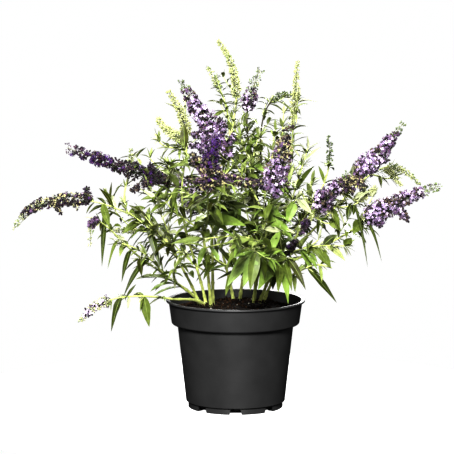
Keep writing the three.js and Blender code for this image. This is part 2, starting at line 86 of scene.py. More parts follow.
# Leaders: what each springs from, how far along that, and its tip, as azimuth, reach from
# the pot's axis and height; then the heading and pitch of its last stretch, the share of it
# that is a bare bough, its flower spike and the length of that, and the size of its leaves.
# A leader that springs from another leader is a side shoot in the same mass.
LEADERS = {
    "nw_violet": ("west_mid", 1, 189, 267, 418, 188, 26, 0.3, "violet", 128, 1),
    "w_violet": ("west_main", 1, 177, 351, 284, 178, -25, 0.22, "violet", 141, 1),
    "w_upright": ("w_violet", 0.12, 173, 167, 410, 157, 80, 0, "bud", 32, 0.7),
    "w_drooping": ("west_low", 1, 197, 241, 233, 302, -81, 0.2, "bud", 52, 1),
    "w_skirt": ("west_skirt", 1, 204, 265, 154, 191, -31, 0, "pale", 59, 0.9),
    "nw_pale": ("west_back", 1, 151, 123, 499, 164, 62, 0.3, "pale", 78, 1),
    "nw_pale_side": ("nw_pale", 0.45, 140, 164, 453, 148, 65, 0, "pale", 66, 0.8),
    "top_pale": ("west_tall", 1, 119, 57, 579, 172, 67, 0.12, "pale", 96, 0.8),
    "top_bud": ("top_pale", 0.42, 113, 119, 535, 159, 54, 0, "bud", 47, 0.6),
    "top_lilac": ("east_main", 0.88, 205, 94, 523, 172, 55, 0.2, "lilac", 123, 0.9),
    "s_violet": ("west_mid", 0.9, 262, 192, 455, 318, 66, 0.2, "violet", 93, 1),
    "s_faded": ("s_violet", 0.55, 285, 155, 377, 0, 10, 0, "faded", 71, 0.8),
    "s_lilac": ("east_front", 1, 297, 179, 461, 342, 73, 0.15, "lilac", 113, 1),
    "top_mixed": ("east_tall", 1, 33, 37, 538, 0, 78, 0.12, "bud", 68, 0.8),
    "c_leafy": ("top_mixed", 0.06, 222, 34, 326, 215, 15, 0, "none", 0, 1.1),
    "n_nodding": ("east_tall", 0.85, 60, 218, 484, 18, 22, 0.2, "bud", 56, 0.9),
    "ne_pale": ("east_back", 1, 50, 156, 542, 51, 82, 0.15, "pale", 92, 0.8),
    "ne_bud": ("east_back", 0.9, 36, 186, 421, 148, 78, 0.3, "bud", 48, 1),
    "e_pale": ("east_back", 0.8, 19, 312, 340, 13, -42, 0.3, "bud", 60, 1),
    "e_lilac": ("east_main", 1, 2, 263, 454, 10, 44, 0.22, "lilac", 116, 1),
    "e_lilac_side": ("e_lilac", 0.03, 333, 201, 389, 342, 48, 0, "lilac", 96, 0.9),
    "e_low_lilac": ("east_main", 0.8, 353, 321, 358, 0, 27, 0.22, "slim", 127, 1),
    "n_east": ("north_east", 1, 80, 246, 400, 80, 52, 0.3, "pale", 60, 1),
    "n_west": ("north_west", 1, 115, 242, 352, 118, 38, 0.3, "lilac", 90, 1),
    "ne_low": ("north_east", 0.85, 45, 238, 300, 45, 5, 0.25, "bud", 50, 1),
    "nw_low": ("north_west", 0.85, 145, 252, 262, 150, -10, 0.25, "bud", 50, 1),
    "s_leafy": ("east_leafy", 1, 283, 142, 268, 285, -5, 0, "none", 0, 1.15),
    "se_leafy": ("east_leafy", 0.8, 338, 192, 222, 340, -20, 0.2, "none", 0, 1.1),
    "sw_leafy": ("west_low", 0.8, 238, 170, 268, 240, 5, 0.2, "none", 0, 1),
}
# Shoots whose leafy part takes a course of its own from the bough: the heading and pitch of
# its last stretch, the reach of its first and last handle as shares of its chord, and its tip
# where that is another.
RELAID = {
    "nw_violet": (188, 21, 0.05, 0.5), "w_violet": (172, -66, 0.58, 0.25),
    "w_upright": (150, 82, 0.36, 0.4, (-165, -10, 413)),
    "w_drooping": (302, -81, 0.5, 0.75, (-227, -66, 265)),
    "w_skirt": (191, -55, 0.4, 0.35), "nw_pale": (176, 56, 0.4, 0.55),
    "top_lilac": (172, 61, 0.36, 0.4), "top_pale": (172, 50, 0.36, 0.35),
    "n_nodding": (12, -15, 0.2, 0.5, (107, 189, 480)),
    "top_mixed": (0, 68, 0.5, 0.45, (38, 20, 537)),
    "e_pale": (13, -50, 0.6, 0.5, (298, 102, 343)), "e_lilac": (10, 57, 0.36, 0.4, (266, 9, 453)),
    "se_leafy": (340, -20, 0.36, 0.4, (150, -66, 232)),
    "e_lilac_side": (350, 48, 0.36, 0.6), "e_low_lilac": (0, 17, 0.45, 0.5),
}
# How a leader leaves what bears it: a side shoot turns from its parent's course to its own
# tip, and a bough on the side of a stem springs from a seat and forks off.
TURN_TO_TIP = 1.1
FORK_WIDTH = 0.9
SEAT_REACH = 3.9
BOUGH_RADIUS = 2.1

# A leaf: its length at the foot and at the top of a shoot, its width for its length, where it
# is widest, its angle from the limb, how it hangs, how far a pair is out of step, and how
# much the lengths vary.
LEAF = {
    "length": 108, "length_top": 62, "slender": 0.25, "widest": 0.42, "spread": 58,
    "droop": 0.9, "stagger": 1.6, "vary": (0.85, 1.15),
}
KNEE = 0.45  # the share of a leaf after which it hangs
BROAD_FROM = 42  # leaves longer than this get the finer blade
WIDTH_SPAN = (0.72, 1.28)
SLENDER_HABIT = 0.2  # a shoot with narrower leaves than this lets them hang more
LEAST_DROOP, DROOP, SLENDER_DROOP = 0.5, 1.25, 1.7

# A side twig: its length and angle, how far above a node it springs, at which nodes, how it
# turns up, where its pairs stand, those that the solid has and those that it doesn't.
TWIG = {
    "length": 62, "vary": (0.75, 1.2), "angle": 42, "above": 6, "every": 2, "rise": 0.12,
    "pairs_at": (0.5, 0.95), "leaf": (0.8, 1.1), "leaf_spread": 45, "margin": 3,
    "leaf_life": 0.8,
    "second_pairs_at": (0.26, 0.74), "second_leaf": (0.45, 0.75),
}
SPRAY = {"chance": 0.4, "length": 26, "lift": 0.5, "above": 0.45}
FINE_TWIG = {"length": (22, 44), "pairs_at": (0.4, 0.7, 1.0), "leaf": (18, 34), "spread": 48}

# Nodes of a shoot: from its foot to the first, the distance between them at its foot and at
# its top, how far a pair is twisted, and the share of the leader that they go into the spike.
FIRST_NODE = 14
NODE_SPACING = 33
NODE_SPACING_TOP = 25
NODE_TWIST = 18
INTO_SPIKE = 0.02
HALF_NODE = {"twist": 20, "leaf": (0.6, 0.95)}

# Leaves on the bare wood: where its nodes start and how far apart they stand, the twist of a
# pair, the lengths of its leaves and their angle.
ON_BOUGH = {
    "first": 10, "spacing": 0.8 * NODE_SPACING, "twist": 20, "leaf": (60, 105), "spread": 60,
    "twig_angle": (35, 60), "twig_size": (1.0, 1.5),
}
ON_STEM = {"first": 12, "spacing": 24, "until": 0.97, "above": 195, "twist": 25, "spread": 55}
THIN_SHOOT = {
    "length": (60, 120), "angle": (38, 70), "rise": (-0.1, 0.35), "turn_up": (0.1, 0.9),
    "first": 20, "spacing": 22, "until": 0.95, "leaf": (0.6, 0.95), "taper": 0.4,
    "spread": 50, "margin": 1,
}
PLACED = {
    "first": 14, "spacing": 20, "twist": 30, "spread": 55, "leaf": (0.8, 1.2),
    "foot_leaf": 1.15, "taper": 0.4,
}
# Tufts of young leaves, by where they stand: how long the leaves are and how many.
YOUNG = {
    "node": (20, 3), "half_node": (16, 2), "bough": (16, 2), "stem": (14, 1),
    "twig": (15, 2), "twig_tip": (18, 4), "fine_tip": (13, 3),
    "thin_shoot": (13, 1), "thin_tip": (22, 4), "placed": (24, 3), "placed_tip": (24, 5),
}
# One of those leaves: its turn, lean, length and width for its length, and how it hangs.
YOUNG_LEAF = {
    "turn": 70, "lean": (12, 50), "length": (0.5, 1.0), "slender": (0.16, 0.26),
    "droop": (0, 0.7),
}
# Limbs: the radius at the foot and at the tip.
RADII = {
    "stem": (2.3, 1.8), "bough": (1.9, 1.6), "joint": (1.9, 1.8), "shoot": (1.6, 1.0),
    "placed": (1.3, 0.8), "thin_shoot": (1.2, 0.8), "twig": (1.05, 0.65),
    "fine_twig": (0.75, 0.5), "spike": (0.85, 0.35), "cyme": (0.45, 0.3),
}
# Room that leaves keep to other masses, to limbs and to the rim, and how far from the leaders
# the ones among the stems may reach.
SPACE_MARGIN = 1.0
LIMB_MARGIN = 1.5
RIM_MARGIN = 3
AMONG_STEMS = 95
# What a leaf tries until it fits: its size, and how much steeper it stands.
TRIES = ((1, 0), (0.85, 12), (0.85, 28), (0.65, 0), (0.65, 24), (0.48, 10))
# Where each of the dice starts; those for shoots, boughs and stems go on by one for each.
SEEDS = {
    "shoot": 1, "fine": 501, "bough": 901, "stem": 1301, "placed": 2001, "compost": 77,
    "crumb_shape": 5, "crumbs": 31,
}

# Thin shoots with a place of their own: what each springs from, how far along that, its tip,
# the heading and pitch of its last stretch, the length of its longest leaves and their habit.
PLACED_SHOOTS = {
    "front_upper": ("s_lilac", 0.12, (69, -88, 293), 300, 20, 0, "s_leafy"),
    "front_lower": ("east_leafy", 0.85, (80, -78, 249), 300, 5, 0, "s_leafy"),
    "front_level": ("s_lilac", 0.06, (-48, -78, 279), 200, -8, 26, "s_violet"),
    "centre_front": ("west_mid", 0.98, (-15, -70, 343), 40, 55, 40, "s_violet"),
    "front_right": ("s_lilac", 0.32, (95, -84, 343), 340, 50, 0, "s_leafy"),
    "right_low": ("east_main", 0.95, (171, -62, 266), 340, 0, 24, "e_lilac"),
    "right_mid": ("e_lilac", 0.12, (192, -40, 332), 340, 35, 34, "e_lilac"),
    "right_inner": ("e_lilac", 0.05, (121, 10, 358), 20, 75, 32, "s_lilac"),
    "right_high": ("east_back", 0.95, (116, 60, 407), 30, 70, 34, "s_lilac"),
    "right_lower": ("east_main", 0.95, (130, -34, 272), 20, 40, 40, "s_lilac"),
    "right_fork": ("e_lilac", 0.05, (150, -30, 300), 20, 40, 36, "e_low_lilac"),
    "right_upper": ("e_lilac", 0.3, (203, -10, 335), 20, 40, 36, "e_low_lilac"),
    "right_top": ("e_pale", 0.45, (252, 80, 358), 10, 30, 30, "ne_pale"),
    "right_outer": ("e_low_lilac", 0.3, (215, -20, 337), 20, 60, 30, "ne_pale"),
    "left_low": ("west_low", 0.9, (-179, -34, 266), 190, 15, 28, "w_drooping"),
    "left_mid": ("west_main", 0.85, (-134, -30, 341), 170, 55, 40, "w_violet"),
    "left_inner": ("west_mid", 0.85, (-110, -50, 337), 190, 60, 42, "w_violet"),
    "left_outer": ("west_main", 0.95, (-172, -20, 316), 175, 35, 38, "w_violet"),
    "left_fork": ("west_main", 0.98, (-146, -16, 312), 150, 50, 44, "w_violet"),
    "left_front": ("nw_violet", 0.02, (-118, -50, 332), 200, 30, 40, "w_violet"),
    "left_crown": ("nw_pale", 0.4, (-123, 45, 422), 150, 60, 30, "nw_pale"),
    "left_high": ("nw_pale", 0.15, (-136, 40, 393), 170, 60, 40, "nw_pale"),
    "left_back": ("nw_pale", 0.3, (-107, 30, 383), 120, 70, 44, "s_violet"),
    "top_inner": ("east_tall", 0.9, (-6, 60, 455), 150, 70, 44, "top_mixed"),
    "top_front": ("top_mixed", 0.25, (7, 20, 430), 200, 70, 48, "c_leafy"),
    "top_right": ("east_tall", 0.95, (36, 30, 426), 20, 70, 44, "ne_pale"),
    "high_right": ("east_back", 0.9, (64, 90, 433), 60, 70, 46, "top_mixed"),
    "high_far": ("ne_pale", 0.3, (78, 110, 457), 60, 75, 42, "ne_pale"),
}
# Small side spikes with a place of their own: the limb, how far along it, the tip, and the
# palette of the spike's heads.
PLACED_SPIKES = (
    ("top_lilac", 0.62, (-22, -58, 464), "lilac_side"),
    ("top_lilac", 0.52, (-3, -58, 441), "lilac_side"),
    ("top_lilac", 0.62, (-15, -60, 457), "lilac_side"),
    ("top_lilac", 0.54, (-71, -50, 422), "lilac_side"),
    ("top_lilac", 0.62, (-68, -48, 440), "lilac_side"),
    ("top_lilac", 0.48, (-56, -46, 412), "lilac_side"),
    ("nw_violet", 0.32, (-160, -58, 396), "dusky_side"),
    ("nw_violet", 0.24, (-135, -56, 392), "dusky_side"),
    ("nw_violet", 0.36, (-164, -60, 352), "dusky_side"),
    ("s_violet", 0.62, (-74, -150, 382), "faded_side"),
    ("s_violet", 0.7, (-70, -156, 412), "faded_side"),
    ("s_violet", 0.6, (-55, -160, 370), "faded_side"),
    ("s_violet", 0.66, (-24, -164, 380), "faded_side"),
    ("s_violet", 0.72, (-68, -150, 420), "faded_side"),
    ("w_violet", 0.32, (-236, -12, 350), "dusky_side"),
    ("w_violet", 0.42, (-250, -4, 316), "sparse_side"),
    ("w_violet", 0.55, (-276, 0, 310), "sparse_side"),
    ("e_lilac", 0.42, (171, -34, 365), "faded_side"),
    ("e_lilac", 0.34, (186, -34, 350), "faded_side"),
    ("e_lilac", 0.44, (206, -30, 352), "faded_side"),
    ("e_pale", 0.6, (266, 70, 346), "lime_side"),
    ("right_upper", 0.7, (222, -14, 354), "lime_side"),
    ("e_lilac", 0.55, (224, -26, 384), "lilac_side"),
    ("e_lilac", 0.6, (240, -20, 398), "lilac_side"),
    ("s_lilac", 0.62, (36, -122, 364), "lilac_side"),
    ("s_lilac", 0.6, (64, -136, 350), "lilac_side"),
    ("e_low_lilac", 0.5, (226, -48, 297), "lilac_side"),
    ("east_main", 0.98, (95, -30, 271), "shaded_side"),
    ("e_lilac", 0.0, (104, -30, 282), "shaded_side"),
    ("front_level", 0.5, (-9, -88, 254), "lime_side"),
    ("e_low_lilac", 0.66, (270, -44, 306), "lilac_side"),
)
# Leaves with a place of their own: the limb that each grows on, how far along that, its tip,
# its width, how far it arches above a straight line as a share of its length, and its tint.
# Its tint is partly painted light: darker for a leaf in shade, lighter for one the light falls
# on.
PLACED_LEAVES = (
    ("top_bud", 0.42, (-45, 52, 483), 8, 0.1, "olive"),
    ("top_bud", 0.36, (-42, 52, 450), 9, 0.12, "mid"),
    ("top_pale", 0.66, (4, 40, 492), 8, 0.06, "deep"),
    ("top_bud", 0.4, (-17, 50, 472), 7, 0.1, "deep"),
    ("west_mid", 0.98, (17, -96, 302), 20, 0.08, "fresh_lit"),
    ("west_mid", 0.72, (-59, -40, 230), 11, 0.05, "fresh_lit"),
    ("west_mid", 0.66, (-40, -34, 227), 11, 0.05, "mid"),
    ("nw_violet", 0.12, (-98, -60, 326), 11, 0.05, "mid"),
    ("centre_front", 0.6, (22, -78, 330), 16, 0.08, "deep"),
    ("s_lilac", 0.02, (1, -70, 318), 16, 0.08, "deep"),
    ("front_upper", 0.97, (50, -88, 341), 23, 0.0, "fresh_lit"),
    ("front_upper", 1, (39, -100, 298), 11, 0.06, "downy"),
    ("front_upper", 1, (93, -96, 291), 10, 0.06, "downy"),
    ("front_upper", 1, (42, -118, 246), 13, 0.03, "fresh_lit"),
    ("front_right", 0.9, (79, -96, 305), 16, 0.04, "fresh_lit"),
    ("right_high", 0.9, (136, 50, 410), 5, 0.06, "downy"),
    ("right_high", 0.6, (126, 30, 382), 8, 0.1, "mid"),
    ("front_right", 1, (118, -86, 320), 13, 0.05, "downy"),
    ("front_lower", 0.7, (34, -150, 210), 27, 0.1, "fresh_lit"),
    ("front_lower", 0.75, (81, -130, 185), 17, 0.12, "fresh_lit"),
    ("front_lower", 0.85, (87, -110, 202), 14, 0.12, "mid"),
    ("front_lower", 1, (109, -90, 201), 12, 0.12, "olive"),
    ("front_lower", 1, (41, -108, 246), 11, 0.04, "mid"),
    ("s_leafy", 0.9, (-14, -138, 213), 20, 0.06, "fresh_lit"),
    ("s_leafy", 1, (11, -146, 214), 20, 0.05, "fresh_lit"),
    ("s_leafy", 1, (22, -150, 209), 18, 0.05, "mid"),
    ("front_lower", 0.8, (65, -138, 204), 15, 0.06, "mid"),
    ("s_leafy", 0.7, (38, -112, 250), 12, 0.05, "fresh_lit"),
    ("front_level", 0.35, (-9, -100, 265), 13, 0.05, "bright"),
    ("front_level", 1, (-102, -84, 272), 10, 0.06, "mid"),
    ("se_leafy", 0.5, (158, -74, 178), 12, 0.04, "deep"),
    ("right_low", 0.3, (129, -70, 238), 12, 0.14, "fresh_lit"),
    ("right_low", 0.3, (127, -78, 231), 14, 0.08, "fresh_lit"),
    ("right_low", 0.7, (159, -50, 282), 13, 0.08, "deep"),
    ("right_low", 0.5, (149, -74, 232), 21, 0.06, "mid"),
    ("right_low", 0.75, (171, -72, 244), 12, 0.08, "lime"),
    ("right_low", 1, (181, -70, 280), 14, 0.1, "mid"),
    ("right_mid", 0.9, (206, -74, 234), 5, 0.14, "deep"),
    ("right_mid", 0.9, (184, -50, 313), 10, 0.1, "deep"),
    ("right_mid", 0.8, (175, -44, 303), 10, 0.12, "deep"),
    ("right_mid", 0.3, (163, -60, 290), 14, 0.1, "mid"),
    ("right_upper", 0.6, (212, -30, 348), 9, 0.1, "downy"),
    ("right_lower", 0.8, (112, -60, 254), 13, 0.1, "mid"),
    ("right_fork", 0.9, (166, -40, 286), 12, 0.1, "bright"),
    ("e_low_lilac", 0.34, (228, -70, 242), 6, 0.3, "deep"),
    ("e_low_lilac", 0.36, (183, -66, 285), 19, 0.1, "mid"),
    ("w_violet", 0.26, (-197, -40, 290), 13, 0.04, "mid"),
    ("w_violet", 0.2, (-209, -16, 352), 7, 0.1, "mid"),
    ("w_violet", 0.22, (-195, -10, 361), 5, 0.12, "olive"),
    ("w_violet", 0.12, (-141, -20, 321), 10, 0.1, "mid"),
    ("w_violet", 0.24, (-209, -66, 234), 9, 0.04, "deep"),
    ("w_violet", 0.02, (-119, -30, 227), 12, 0.05, "deep"),
    ("w_drooping", 0.32, (-200, -66, 230), 7, 0.2, "mid"),
    ("w_drooping", 0.1, (-147, -50, 215), 12, 0.08, "olive"),
    ("w_drooping", 0.2, (-179, -46, 206), 9, 0.14, "deep"),
    ("w_violet", 0.05, (-179, -20, 279), 14, 0.08, "mid"),
    ("left_fork", 0.8, (-169, -16, 325), 8, 0.1, "olive"),
    ("left_front", 0.7, (-134, -60, 317), 10, 0.1, "mid"),
    ("left_front", 0.2, (-103, -56, 301), 11, 0.1, "deep"),
    ("left_front", 1, (-153, -44, 355), 7, 0.1, "downy"),
    ("west_mid", 0.9, (-78, -40, 284), 11, 0.12, "mid"),
    ("left_front", 0.5, (-149, -52, 337), 11, 0.1, "mid"),
    ("west_low", 0.88, (-158, -20, 207), 14, 0.1, "mid"),
    ("left_inner", 0.5, (-87, -58, 329), 9, 0.1, "olive"),
    ("left_low", 0.5, (-177, -36, 181), 10, 0.16, "deep"),
    ("west_low", 0.72, (-135, -24, 188), 15, 0.1, "fresh_lit"),
    ("west_low", 0.95, (-128, -6, 186), 9, 0.05, "bright"),
    ("west_low", 0.6, (-152, -30, 211), 14, 0.1, "mid"),
    ("west_low", 0.62, (-130, -30, 182), 12, 0.06, "fresh_lit"),
    ("w_violet", 0.2, (-215, -20, 352), 6, 0.12, "olive"),
    ("w_violet", 0.24, (-219, -30, 338), 6, 0.1, "mid"),
    ("w_skirt", 0.5, (-194, -92, 135), 12, 0.16, "deep"),
    ("w_skirt", 0.27, (-135, -76, 140), 16, 0.03, "mid"),
    ("w_skirt", 0.42, (-168, -84, 170), 6, 0.05, "downy"),
    ("w_skirt", 0.45, (-155, -84, 209), 5, 0.04, "deep"),
)

# ---------------------------------------------------------------- directions and curves

UP = np.array((0.0, 0.0, 1.0))
# What is added to UP so that a cross product with it isn't nothing for an upright direction.
OFF_LEVEL, SET_OFF_LEVEL = 0.01, 0.013


def unit(vector):
    return vector / np.maximum(np.linalg.norm(vector, axis=-1, keepdims=True), 1e-9)


def heading(azimuth, pitch):
    a, p = math.radians(azimuth), math.radians(pitch)
    return np.array((math.cos(p) * math.cos(a), math.cos(p) * math.sin(a), math.sin(p)))


def polar(azimuth, reach, height, x=0.0, y=0.0):
    a = math.radians(azimuth)
    return np.array((x + reach * math.cos(a), y + reach * math.sin(a), height))


def between(first, second, angle):
    """The direction `angle` degrees from `first` towards `second`, which is square to it."""
    return first * math.cos(math.radians(angle)) + second * math.sin(math.radians(angle))


class Curve:
    """A curve that leaves `start` along `out` and comes to `end` along `onward`."""

    STEPS = 200
    STEP = 0.01

    def __init__(self, start, out, end, onward, handle_out=0.36, handle_in=0.4):
        chord = np.linalg.norm(end - start)
        self.knots = (start, start + out * chord * handle_out,
                      end - onward * chord * handle_in, end)
        self.length = float(np.linalg.norm(
            np.diff(self.points(np.linspace(0, 1, self.STEPS + 1)), axis=0), axis=1).sum())

    def points(self, t):
        t = np.asarray(t, float)[..., None]
        a, b, c, d = self.knots
        return ((1 - t) ** 3 * a + 3 * (1 - t) ** 2 * t * b
                + 3 * (1 - t) * t ** 2 * c + t ** 3 * d)

    def tangents(self, t):
        t = np.asarray(t, float)[..., None]
        a, b, c, d = self.knots
        return unit((1 - t) ** 2 * (b - a) + 2 * (1 - t) * t * (c - b) + t ** 2 * (d - c))

    def across(self, t):
        """The tangent and two directions across the curve, which don't spin along it."""
        tangent = self.tangents(t)
        chord = self.knots[3] - self.knots[0]
        level = np.array((-chord[1], chord[0], 0.0))
        if np.linalg.norm(level) < 0.01 * np.linalg.norm(chord):
            level = np.array((0.0, 1.0, 0.0))
        side = unit(level - tangent * (tangent @ level)[..., None])
        return tangent, side, np.cross(tangent, side)

    def share_before(self, length):
        """The t at which the last `length` of the curve begins."""
        t, left = 1.0, length
        while left > 0 and t > self.STEP:
            left -= float(np.linalg.norm(self.points(t) - self.points(t - self.STEP)))
            t -= self.STEP
        return t


TESTED_AT = np.linspace(0.2, 1, 5)  # the places along a twig that have to be in its space


class Dice:
    """Numbers from 0 to 1 in a fixed order, each worked out from the one before."""

    MODULUS = 2147483647
    MULTIPLIER = 48271
    SEED_STEP, SEED_START = 7919, 12345

    def __init__(self, seed):
        self.state = (seed * self.SEED_STEP + self.SEED_START) % self.MODULUS

    def roll(self):
        self.state = (self.state * self.MULTIPLIER) % self.MODULUS
        return self.state / self.MODULUS

    def between(self, low, high):
        return low + (high - low) * self.roll()

    def pick(self, weighted):
        """One of the names in (name, weight) pairs."""
        left = self.roll() * sum(weight for _, weight in weighted)
        for name, weight in weighted:
            left -= weight
            if left <= 0:
                return name
        return weighted[-1][0]


# ---------------------------------------------------------------- stems, boughs, leaders

def lay_out_stems():
    stems = {}
    for name, (tuft_name, side, azimuth, reach, height) in STEMS.items():
        tuft = TUFTS[tuft_name]
        foot = polar(side, tuft["spread"], SOIL_TOP + tuft["heap"] + GAP, tuft["x"], tuft["y"])
        fork = polar(azimuth, reach, height, tuft["x"], tuft["y"])
        lean = unit(fork - foot)
        out = unit(lean + UP * STEM["lift"])
        stems[name] = Curve(foot - out * STEM["buried"], out, fork, lean)
    return stems


def spring_point(curve, t, share, towards, joined):
    """Where a leader springs from its parent, and the direction that it leaves in."""
    tangent, point = curve.tangents(t), curve.points(t)
    aim = unit(towards - point)
    if joined:
        return point, unit(tangent + aim * TURN_TO_TIP)
    if share == 1:
        return point + tangent * GAP, tangent
    aside = unit(aim - tangent * (aim @ tangent))
    return point + aside * SEAT_REACH, unit(tangent + aside * FORK_WIDTH)


def lay_out_leaders(stems):
    leaders = {}
    for index, (name, row) in enumerate(LEADERS.items()):
        origin, share, azimuth, reach, height, turn, pitch, bare, spike, length, size = row
        joined = origin in leaders
        parent = leaders[origin]["curve"] if joined else stems[origin]
        start = leaders[origin]["from"] if joined else 0.0
        tip = polar(azimuth, reach, height)
        t = start + (1 - start) * share
        point, out = spring_point(parent, t, share, tip, joined)
        bough = curve = Curve(point, out, tip, heading(turn, pitch))
        begin = bare + (GAP / curve.length if bare > 0 else 0)
        if name in RELAID:
            turn, pitch, handle_out, handle_in, *other = RELAID[name]
            tip = np.array(other[0], float) if other else tip
            curve = Curve(bough.points(begin), bough.tangents(begin), tip,
                          heading(turn, pitch), handle_out, handle_in)
            begin = 0.0
        leaders[name] = {
            "name": name, "bough": bough, "curve": curve, "spike": spike, "size": size,
            "bare": bare, "from": begin, "index": index,
            "mass": leaders[origin]["mass"] if joined else name,
            "spike_from": curve.share_before(length), "root": parent.points(t),
            "root_out": parent.tangents(t),
        }
    return leaders


def distances(points, starts, ends):
    """From each point to each straight piece."""
    along = ends - starts
    t = ((points[:, None] - starts) * along).sum(-1) / np.maximum((along ** 2).sum(-1), 1e-9)
    nearest = starts + along * np.clip(t, 0, 1)[..., None]
    return np.linalg.norm(points[:, None] - nearest, axis=-1)


class Spaces:
    """A mass's space is every point nearer to its own shoots than to any other mass's, and
    clear of all stems and boughs, of the soil and of the pot."""

    PIECES = 16  # that a limb is cut into

    def __init__(self, stems, leaders):
        limbs = [(curve, 0, 1, STEM["radius"], name) for name, curve in stems.items()]
        limbs += [(row["bough"], 0, row["bare"], BOUGH_RADIUS, name)
                  for name, row in leaders.items() if row["bare"] > 0]
        axes = [(row["curve"], row["from"], 1, 0, row["mass"]) for row in leaders.values()]
        self.limb_starts, self.limb_ends, self.limb_radii, self.limb_names = self.cut(limbs)
        self.axis_starts, self.axis_ends, _, self.axis_masses = self.cut(axes)

    def cut(self, rows):
        starts, ends, radii, names = [], [], [], []
        for curve, low, high, radius, name in rows:
            points = curve.points(np.linspace(low, high, self.PIECES + 1))
            starts.append(points[:-1])
            ends.append(points[1:])
            radii += [radius] * self.PIECES
            names += [name] * self.PIECES
        return np.concatenate(starts), np.concatenate(ends), np.array(radii), np.array(names)

    def clear(self, points, own_limb=None):
        """Which of the points are clear of the pot, the soil and the limbs."""
        over_pot = (points[:, 2] < POT["height"]) & (
            np.hypot(points[:, 0], points[:, 1]) < POT["lip_radius"] + RIM_MARGIN)
        others = self.limb_names != own_limb
        room = distances(points, self.limb_starts[others], self.limb_ends[others])
        return ~over_pot & (room >= self.limb_radii[others] + LIMB_MARGIN).all(1)

    def hold(self, mass, points, margin=SPACE_MARGIN, own_limb=None):
        """Which of the points are in the mass's space. What grows straight on a stem has no
        mass, and keeps to the room among the stems, within the crown's reach."""
        clear = self.clear(points, own_limb)
        away = distances(points, self.axis_starts, self.axis_ends)
        if mass is None:
            return clear & (away.min(1) < AMONG_STEMS)
        mine = self.axis_masses == mass
        return clear & (away[:, mine].min(1) + 2 * margin < away[:, ~mine].min(1))


# ---------------------------------------------------------------- what grows

Limb = namedtuple("Limb", "curve low high foot top kind nodes")
Leaf = namedtuple("Leaf", "kind root knee tip face length slender twist fold phase tint")
Head = namedtuple("Head", "kind tint place aim scale turn")
FULL_TURN = 6.3  # radians


class Growth:
    """Everything that has grown, as rows for the meshes."""

    FOLD = (0.05, 0.5)
    PLACED_FOLD = (0.05, 0.3)
    TWIST, PLACED_TWIST = 0.5, 0.3
    ARCH_AT_KNEE = 1.6
    LIGHT_FROM = (0.0, -0.8, 0.6)

    def __init__(self):
        self.limbs = []
        self.leaves = []
        self.heads = []

    def limb(self, curve, low, high, radii, kind, nodes=()):
        self.limbs.append(Limb(curve, low, high, *RADII[radii], kind, nodes))

    def leaf(self, kind, root, out, face, length, slender, droop, dice, tint):
        """A leaf that leaves its root along `out` and then hangs."""
        knee = root + out * length * KNEE
        tip = knee + unit(out - UP * droop) * length * (1 - KNEE)
        self.leaves.append(Leaf(
            kind, root, knee, tip, face, length, slender,
            dice.between(-self.TWIST, self.TWIST), dice.between(*self.FOLD),
            dice.between(0, FULL_TURN), tint))

    def placed_leaf(self, root, tip, width, arch, dice, tint):
        """A leaf from its root to its tip, with its face towards the light."""
        length = float(np.linalg.norm(tip - root)) * (1 + arch)
        knee = root + (tip - root) * KNEE + UP * length * arch * self.ARCH_AT_KNEE
        outward = unit(root * (1, 1, 0))
        face = unit(outward * 0.5 + np.array(self.LIGHT_FROM))
        self.leaves.append(Leaf(
            "broad", root, knee, tip, face, length, width / length,
            dice.between(-self.PLACED_TWIST, self.PLACED_TWIST),
            dice.between(*self.PLACED_FOLD), dice.between(0, FULL_TURN), tint))


def leaf_outline(root, out, lift, length):
    """The points of a leaf that have to be inside its mass's space."""
    side = -unit(np.cross(out, lift))
    width = length * LEAF["slender"]
    middle = root + out * length * LEAF["widest"]
    tip = middle + unit(out - UP * LEAF["droop"]) * length * (1 - LEAF["widest"])
    left, right = middle + side * width / 2, middle - side * width / 2
    pairs = ((middle, tip, 0.33), (middle, tip, 0.67), (left, tip, 0.5), (right, tip, 0.5),
             (root, left, 0.6), (root, right, 0.6))
    return np.array([tip, left, right, middle] + [a + (b - a) * s for a, b, s in pairs])


def fit_leaf(spaces, mass, root, tangent, aside, spread, length, own_limb=None):
    """The first of the tries that fits, as its direction and length, or None."""
    lift = unit(tangent * 0.6 + UP * 0.8)
    outs = [between(tangent, aside, spread - steeper) for _, steeper in TRIES]
    outlines = [leaf_outline(root, out, lift, length * size)
                for out, (size, _) in zip(outs, TRIES)]
    held = spaces.hold(mass, np.concatenate(outlines), own_limb=own_limb)
    held = held.reshape(len(TRIES), -1).all(1)
    if not held.any():
        return None
    first = int(np.argmax(held))
    return outs[first], lift, length * TRIES[first][0]


def pair_ways(curve, t, turn):
    tangent, side, over = curve.across(t)
    return [(tangent, between(side, over, turn + half)) for half in (0, 180)]


DARK_SHOOTS = ("n_nodding", "top_mixed", "nw_violet")  # with older, darker bark
# Tints of leaves, dealt out by spray: the share of each on a shoot of that habit.
# Darker tints are partly painted shade, for shoots in shade; lighter greens partly painted light.
LEAF_TINTS = {
    "shade": (("olive", 5), ("deep", 4), ("mid", 2)),
    "middle": (("mid", 5), ("deep", 3), ("bright", 3), ("olive", 1)),
    "sun": (("fresh_lit", 4), ("bright", 2), ("lime", 1), ("mid", 3)),
    "leafy": (("fresh_lit", 5), ("bright", 2), ("mid", 5), ("deep", 1.5)),
    "west": (("deep", 4), ("olive", 4), ("mid", 5), ("bright", 3), ("downy", 3)),
    "young": (("downy", 4), ("lime", 3), ("bright", 3), ("deep", 1)),
}
Habit = namedtuple("Habit", "tints life fullness twigs slender")
